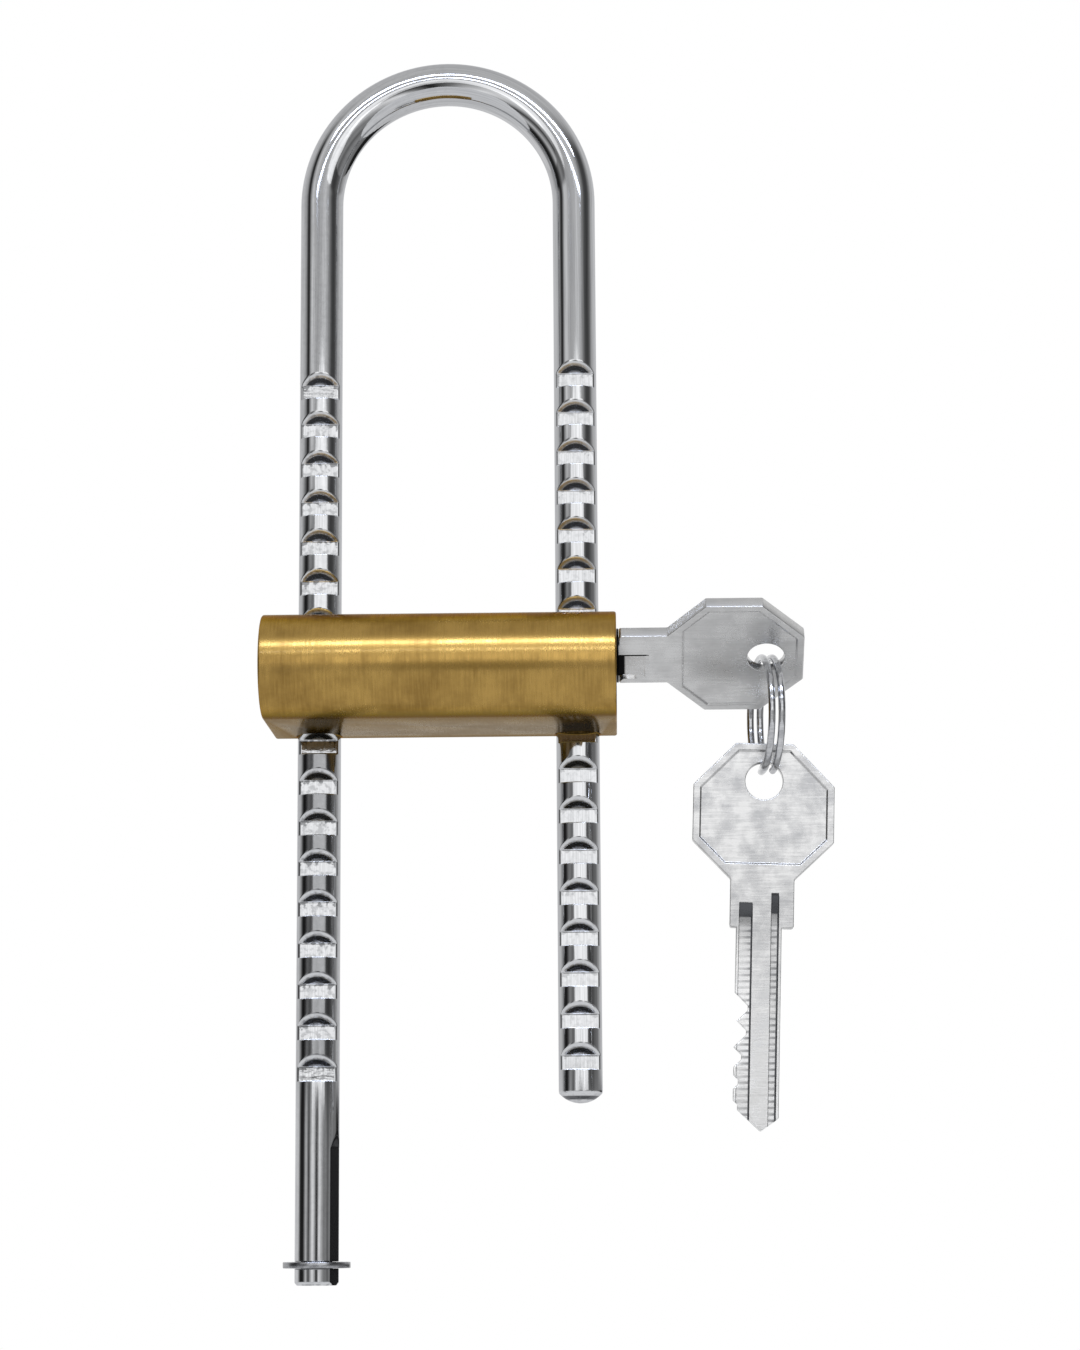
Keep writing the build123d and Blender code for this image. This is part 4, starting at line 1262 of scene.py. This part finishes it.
def key_depths(points, side):
    """How far the key's face lies under its full thickness at each point, on one side. Also the grooves' own
    depth as a share, and the distance to their wall on the plain side."""
    depth = np.zeros(len(points))
    share_deep = np.zeros(len(points))
    from_wall = np.full(len(points), NO_WALL)
    for (low, high), groove_side, runout in GROOVES:
        if groove_side != side:
            continue
        wheel_r = (runout**2 + GROOVE_DEPTH**2) / (2 * GROOVE_DEPTH)
        x = np.clip(points[:, 0], 0, wheel_r)
        floor = np.maximum(np.sqrt(np.maximum(wheel_r**2 - x**2, 0)) - (wheel_r - GROOVE_DEPTH), 0)
        in_low = NO_WALL if low <= -BLADE_CUT_SIDE else points[:, 1] - low
        in_high = NO_WALL if high >= BLADE_PLAIN_SIDE else high - points[:, 1]
        wall = np.interp(np.minimum(in_low, in_high), WALL_X, WALL_DEPTH)
        within = (points[:, 1] > low - 0.001) & (points[:, 1] < high + 0.001)
        depth = np.maximum(depth, floor * wall * within)
        share_deep = np.maximum(share_deep, floor / GROOVE_DEPTH * within * (wall > 0.05))
        from_wall = np.where(within, high - points[:, 1], from_wall)
    panel = panel_outline()
    into = np.where(inside(panel, points), distance_to(panel, points), 0)
    return depth + BOW_RECESS * eased(np.clip(into / RECESS_SLOPE, 0, 1)), share_deep, from_wall


def key_lines(outline, hole):
    """Closed outlines and single lines that the key's faces are divided by."""
    loops = [outline, hole]
    for share in (0.25, 0.6, 1.0, 1.6):
        loops.append(drawn_in(outline, KEY_EDGE * share))
        loops.append(round_key_hole(KEY_HOLE_R + KEY_EDGE * share))
    panel = panel_outline()
    loops += [drawn_in(panel, RECESS_SLOPE * share) for share in (-0.3, 0, 0.25, 0.5, 0.75, 1.0, 1.25)]
    lines = []
    steps = (-SUPPORT, *WALL_X, WALL_X[-1] + SUPPORT)
    for (low, high), _, runout in GROOVES:
        levels = [low + step for step in steps if low > -BLADE_CUT_SIDE] + [high - step for step in steps]
        lines += [((-BLADE_L, y), (runout + SUPPORT, y)) for y in levels]
        for x in [runout * share for share in (0, 0.15, 0.3, 0.5, 0.75, 0.9, 1)] + [runout + SUPPORT]:
            lines.append(((x, low - SUPPORT), (x, high + SUPPORT)))
    return loops, lines


def make_key(name, node, to_place):
    """One key: both faces on the same net of points, each at its own depth, and a rounded edge."""
    outline = key_outline()
    hole = round_key_hole(KEY_HOLE_R)
    loops, lines = key_lines(outline, hole)
    points, edges = [], []
    for loop in loops:
        first = len(points)
        points += loop
        edges += [(first + index, first + (index + 1) % len(loop)) for index in range(len(loop))]
    for start, end in lines:
        edges.append((len(points), len(points) + 1))
        points += [Vector(start), Vector(end)]
    points, _, triangles, *_ = delaunay_2d_cdt(points, edges, [], 0, 1e-4)
    flat = np.array([tuple(point) for point in points])
    triangles = np.array([tuple(triangle) for triangle in triangles])
    middles = flat[triangles].mean(1)
    triangles = triangles[inside(outline, middles) & ~inside(hole, middles)]
    used, triangles = np.unique(triangles, return_inverse=True)
    triangles = triangles.reshape(-1, 3)
    flat = flat[used]
    count = len(flat)
    edge = np.minimum(distance_to(outline, flat), distance_to(hole, flat))
    short = np.clip(KEY_EDGE - edge, 0, KEY_EDGE)
    drop = KEY_EDGE - np.sqrt(KEY_EDGE**2 - short**2)
    layers = []
    marks = []
    for side in (1, -1):
        depth, share_deep, from_wall = key_depths(flat, side)
        layers.append(np.column_stack([flat, side * (KEY_T / 2 - depth - drop)]))
        marks.append((share_deep, from_wall, np.clip(-flat[:, 0] / BLADE_FADE, 0, 1)))
    faces = []
    for a, b, c in triangles:
        faces += [(a, b, c), (c + count, b + count, a + count)]
    sides = dict.fromkeys(pair for a, b, c in triangles for pair in ((a, b), (b, c), (c, a)))
    faces += [(b, a, a + count, b + count) for a, b in sides if (b, a) not in sides]
    mesh = mesh_of(name, [tuple(to_place @ Vector(point)) for point in np.concatenate(layers)], faces)
    for index, mark in enumerate(KEY_MARKS):
        values = np.concatenate([pair[index] for pair in marks])
        mesh.attributes.new(mark, "FLOAT", "POINT").data.foreach_set("value", values.astype(np.float32))
    place(name, mesh, node)


def make_keys():
    make_key("nickel_key", "key", in_keyway(BODY_RIGHT_X + KEY_STANDOFF))
    upright = to_frame(hinges["spare_key_swing"], Vector((0, 0, 1)), Vector((1, 0, 0)))
    lean = Matrix.Rotation(math.radians(SPARE_LEAN), 4, "Z")
    hung = Matrix.Translation((-KEY_HOLE_X - SPARE_DROP, -SPARE_SHIFT, 0))
    make_key("spare_nickel_key", "spare_key", upright @ lean @ hung)


def make_gap_shade_disc():
    """A thin dark disc between the plug's face and the key's shoulder: painted shade in the gap."""
    plug_gap, key_gap = SHADE_DISC_GAPS
    stations = [(BODY_RIGHT_X + plug_gap, SHADE_DISC_R), (BODY_RIGHT_X + KEY_STANDOFF - key_gap, SHADE_DISC_R)]
    disc = turned("gap_shade_disc", stations, (0, plug_axis.y, plug_axis.z), "X")
    across = (-BLADE_CUT_SIDE - 1, BLADE_PLAIN_SIDE + KEYWAY_ROOM)
    through = (-KEY_T / 2 - KEYWAY_ROOM, KEY_T / 2 + KEYWAY_ROOM)
    keyway = block("keyway", (-1, 1), across, through)
    to_place = in_keyway(BODY_RIGHT_X)
    to_place.translation *= MM
    keyway.transform(to_place)
    shade_disc = cut_away(disc, [keyway])
    finish_mesh(shade_disc, 30)
    piece = bpy.data.objects.new("gap_shade_disc", shade_disc)
    scene.collection.objects.link(piece)
    shade_disc.materials.clear()
    shade_disc.materials.append(gap_shade_black)
    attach(piece, body_of["plug"])


def make_ring():
    """One bright wire, wound twice round, with flat cut ends."""
    normal = Vector(axes["ring_swing"])
    up = Vector((0, 0, 1))
    side = normal.cross(up)
    centre = hinges["ring_swing"] + up * (RING_SEAT - RING_R + WIRE_R)
    jog = WIRE_R + WIRE_GAP / 2
    turn = 360 - 2 * RING_CROSS_TURN - RING_END_TURN
    first = RING_CROSS_AT - RING_CROSS_TURN - turn
    last = RING_CROSS_AT + RING_CROSS_TURN + turn
    stations = [(first, 0.5), (first, 0.9)]
    stations += [(angle, 1.0) for angle in np.linspace(first, last, RING_STEPS)]
    stations += [(last, 0.9), (last, 0.5)]
    rings = []
    for angle, share in stations:
        t = min(1, max(0, (angle - RING_CROSS_AT) / (2 * RING_CROSS_TURN) + 0.5))
        level = jog * (2 * eased(t) - 1)
        a = math.radians(angle)
        out = up * math.cos(a) + side * math.sin(a)
        middle = centre + out * RING_R + normal * level
        rise = jog * 12 * t * (1 - t) / math.radians(2 * RING_CROSS_TURN)
        along = ((side * math.cos(a) - up * math.sin(a)) * RING_R + normal * rise).normalized()
        rings.append(wire_section(middle, out, along.cross(out).normalized(), WIRE_R * share, WIRE_STEPS))
    place("wire_ring", skin("wire_ring", rings), "split_ring", 50)


def coil_spring(node):
    """A compression spring wound from wire, in the room of a node's sleeve."""
    low, high = low_high(node)
    middle = (low + high) / 2
    wound_r = middle.x - low.x - SPRING_WIRE_R
    start, end = low.y + SPRING_WIRE_R, high.y - SPRING_WIRE_R
    turns = round((end - start) / SPRING_PITCH)
    rings = []
    for share in np.linspace(0, 1, turns * SPRING_TURN_STEPS + 1):
        a = 2 * math.pi * turns * share
        out = Vector((math.cos(a), 0, math.sin(a)))
        wire = Vector((middle.x, start + (end - start) * share, middle.z)) + out * wound_r
        rings.append(wire_section(wire, out, Vector((0, 1, 0)), SPRING_WIRE_R, SPRING_WIRE_SIDES))
    return place(f"wound_{node}", skin(node, rings), node, 50)


def make_springs():
    """Five pin springs, and two bar springs, each of these two with a mesh of its own."""
    for number in PIN_NUMBERS:
        coil_spring(f"pin_spring_{number}")
    for node in ("bar_spring_left", "bar_spring_right"):
        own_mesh(coil_spring(node))


def soften(node, name, edge=0.12):
    """A copy of a plain solid with its edges a little rounded."""
    mesh = frame["nodes"][node].data.copy()
    maker = bmesh.new()
    maker.from_mesh(mesh)
    bmesh.ops.remove_doubles(maker, verts=maker.verts, dist=1e-6)
    flat_within = math.radians(1.5)
    bmesh.ops.dissolve_limit(maker, angle_limit=flat_within, verts=maker.verts, edges=maker.edges)
    sharp = [e for e in maker.edges if len(e.link_faces) == 2 and e.calc_face_angle() > math.radians(35)]
    bmesh.ops.bevel(
        maker, geom=sharp, offset=edge * MM, segments=2, profile=0.5, affect="EDGES", clamp_overlap=True
    )
    maker.to_mesh(mesh)
    maker.free()
    place(name, mesh, node)


set_camera()
set_world()
set_lights()
set_floor()

finishes = {
    "shackle_chrome": bright_chrome(),
    # Spring steel strip, phosphated: a dull grey that is darker in patches
    "clip_steel": worked_metal(
        "phosphated_spring_steel", CLIP_STEEL, CLIP_DULL, grain=(0.4, 0.4, 0.4), depth=0.01, blotch=2.0
    ),
    # Drawn brass bar, belt-brushed round its section: lines 0.3 mm apart, coarser than the real ones so that
    # they show, draw the light out along the bar
    "body_brass": worked_metal(
        "brushed_brass",
        BRASS,
        BRASS_DULL,
        grain=(0.3, 5.0, 5.0),
        depth=0.006,
        blotch=7.0,
        rough=(0.24, 0.36),
        brushed=0.6,
    ),
    # End face milled flat: straight marks across it
    "cap_brass": worked_metal(
        "milled_brass", TURNED_BRASS, BRASS_DULL, grain=(4.0, 0.35, 4.0), depth=0.006, blotch=5.0
    ),
    # Lathe-turned brass: rings on the face
    "plug_brass": worked_metal(
        "turned_brass",
        TURNED_BRASS,
        BRASS_DULL,
        grain=(0.3, 0.25, 1.0),
        depth=0.006,
        blotch=5.0,
        turned_on=plug_axis,
    ),
    # Lathe-turned brass rod: fine rings round each pin
    "pin_brass": worked_metal(
        "turned_pin_brass", TURNED_BRASS, BRASS_DULL, grain=(0.5, 0.2, 0.5), depth=0.004, blotch=2.0
    ),
    # Ground silver steel: a cold grey with fine rings
    "pin_steel": worked_metal(
        "ground_steel", HARD_STEEL, STEEL_DULL, grain=(1.5, 0.2, 1.5), depth=0.004, blotch=2.0
    ),
    # Hardened carbon steel, ground lengthwise: a dark grey with long marks
    "bar_steel": worked_metal(
        "hardened_steel", HARD_STEEL, STEEL_DULL, grain=(4.0, 0.3, 0.3), depth=0.005, blotch=4.0
    ),
    # Drawn spring wire: bright, with a darker drawing skin in places
    "spring_steel": worked_metal(
        "spring_wire", SPRING_STEEL, HARD_STEEL, grain=(0.3, 0.3, 0.3), depth=0.004, blotch=1.5
    ),
    # Nickel plate over stamped brass, tumbled: satin, with fine marks along the blade
    "key_nickel": worked_metal(
        "satin_nickel",
        NICKEL,
        NICKEL_DULL,
        grain=(5.0, 0.35, 0.35),
        depth=0.003,
        blotch=5.0,
        rough=(0.24, 0.34),
        # Its grooves are painted near black: painted shade
        grooves={"colour": KEY_GROOVE_SHADE_AND_MARKS, "dark_from": 0.95, "dark_to": 2.0, "hidden": 0.62, "axis": "X"},
    ),
    # The same plate, scuffed by other keys in a pocket: its marks run across and its grooves are painted grey
    # as painted shade
    "spare_key_nickel": worked_metal(
        "satin_nickel_carried",
        SPARE_NICKEL,
        SPARE_DULL,
        grain=(4.0, 4.0, 0.3),
        depth=0.006,
        blotch=3.0,
        rough=(0.2, 0.32),
        grooves={"colour": SPARE_GROOVE_SHADE_AND_MARKS, "dark_from": 0.0, "dark_to": 0.8, "hidden": 0.0, "axis": "Z"},
    ),
    # Bright drawn wire: smooth, with sharp lights
    "ring_steel": worked_metal(
        "bright_wire",
        SPRING_STEEL,
        HARD_STEEL,
        grain=(2.0, 2.0, 0.3),
        depth=0.003,
        blotch=2.0,
        rough=(0.08, 0.14),
    ),
}

# Black, rough metal for the disc behind the key: painted shade that sends back almost no light
gap_shade_black = worked_metal(
    "painted_gap_shade", SHADOW_BLACK, SHADOW_BLACK, grain=(0.4, 0.4, 0.4), depth=0.005, blotch=1.0, rough=(0.4, 0.5)
)

for name, node in frame["nodes"].items():
    for slot in node.material_slots:
        slot.material = finishes[slot_of[name]]

make_shackle()
make_body()
make_keys()
make_gap_shade_disc()
make_ring()
make_springs()
soften("retaining_clip", "spring_clip")
soften("plug", "turned_plug", 0.08)
soften("end_cap", "milled_end_cap", 0.15)
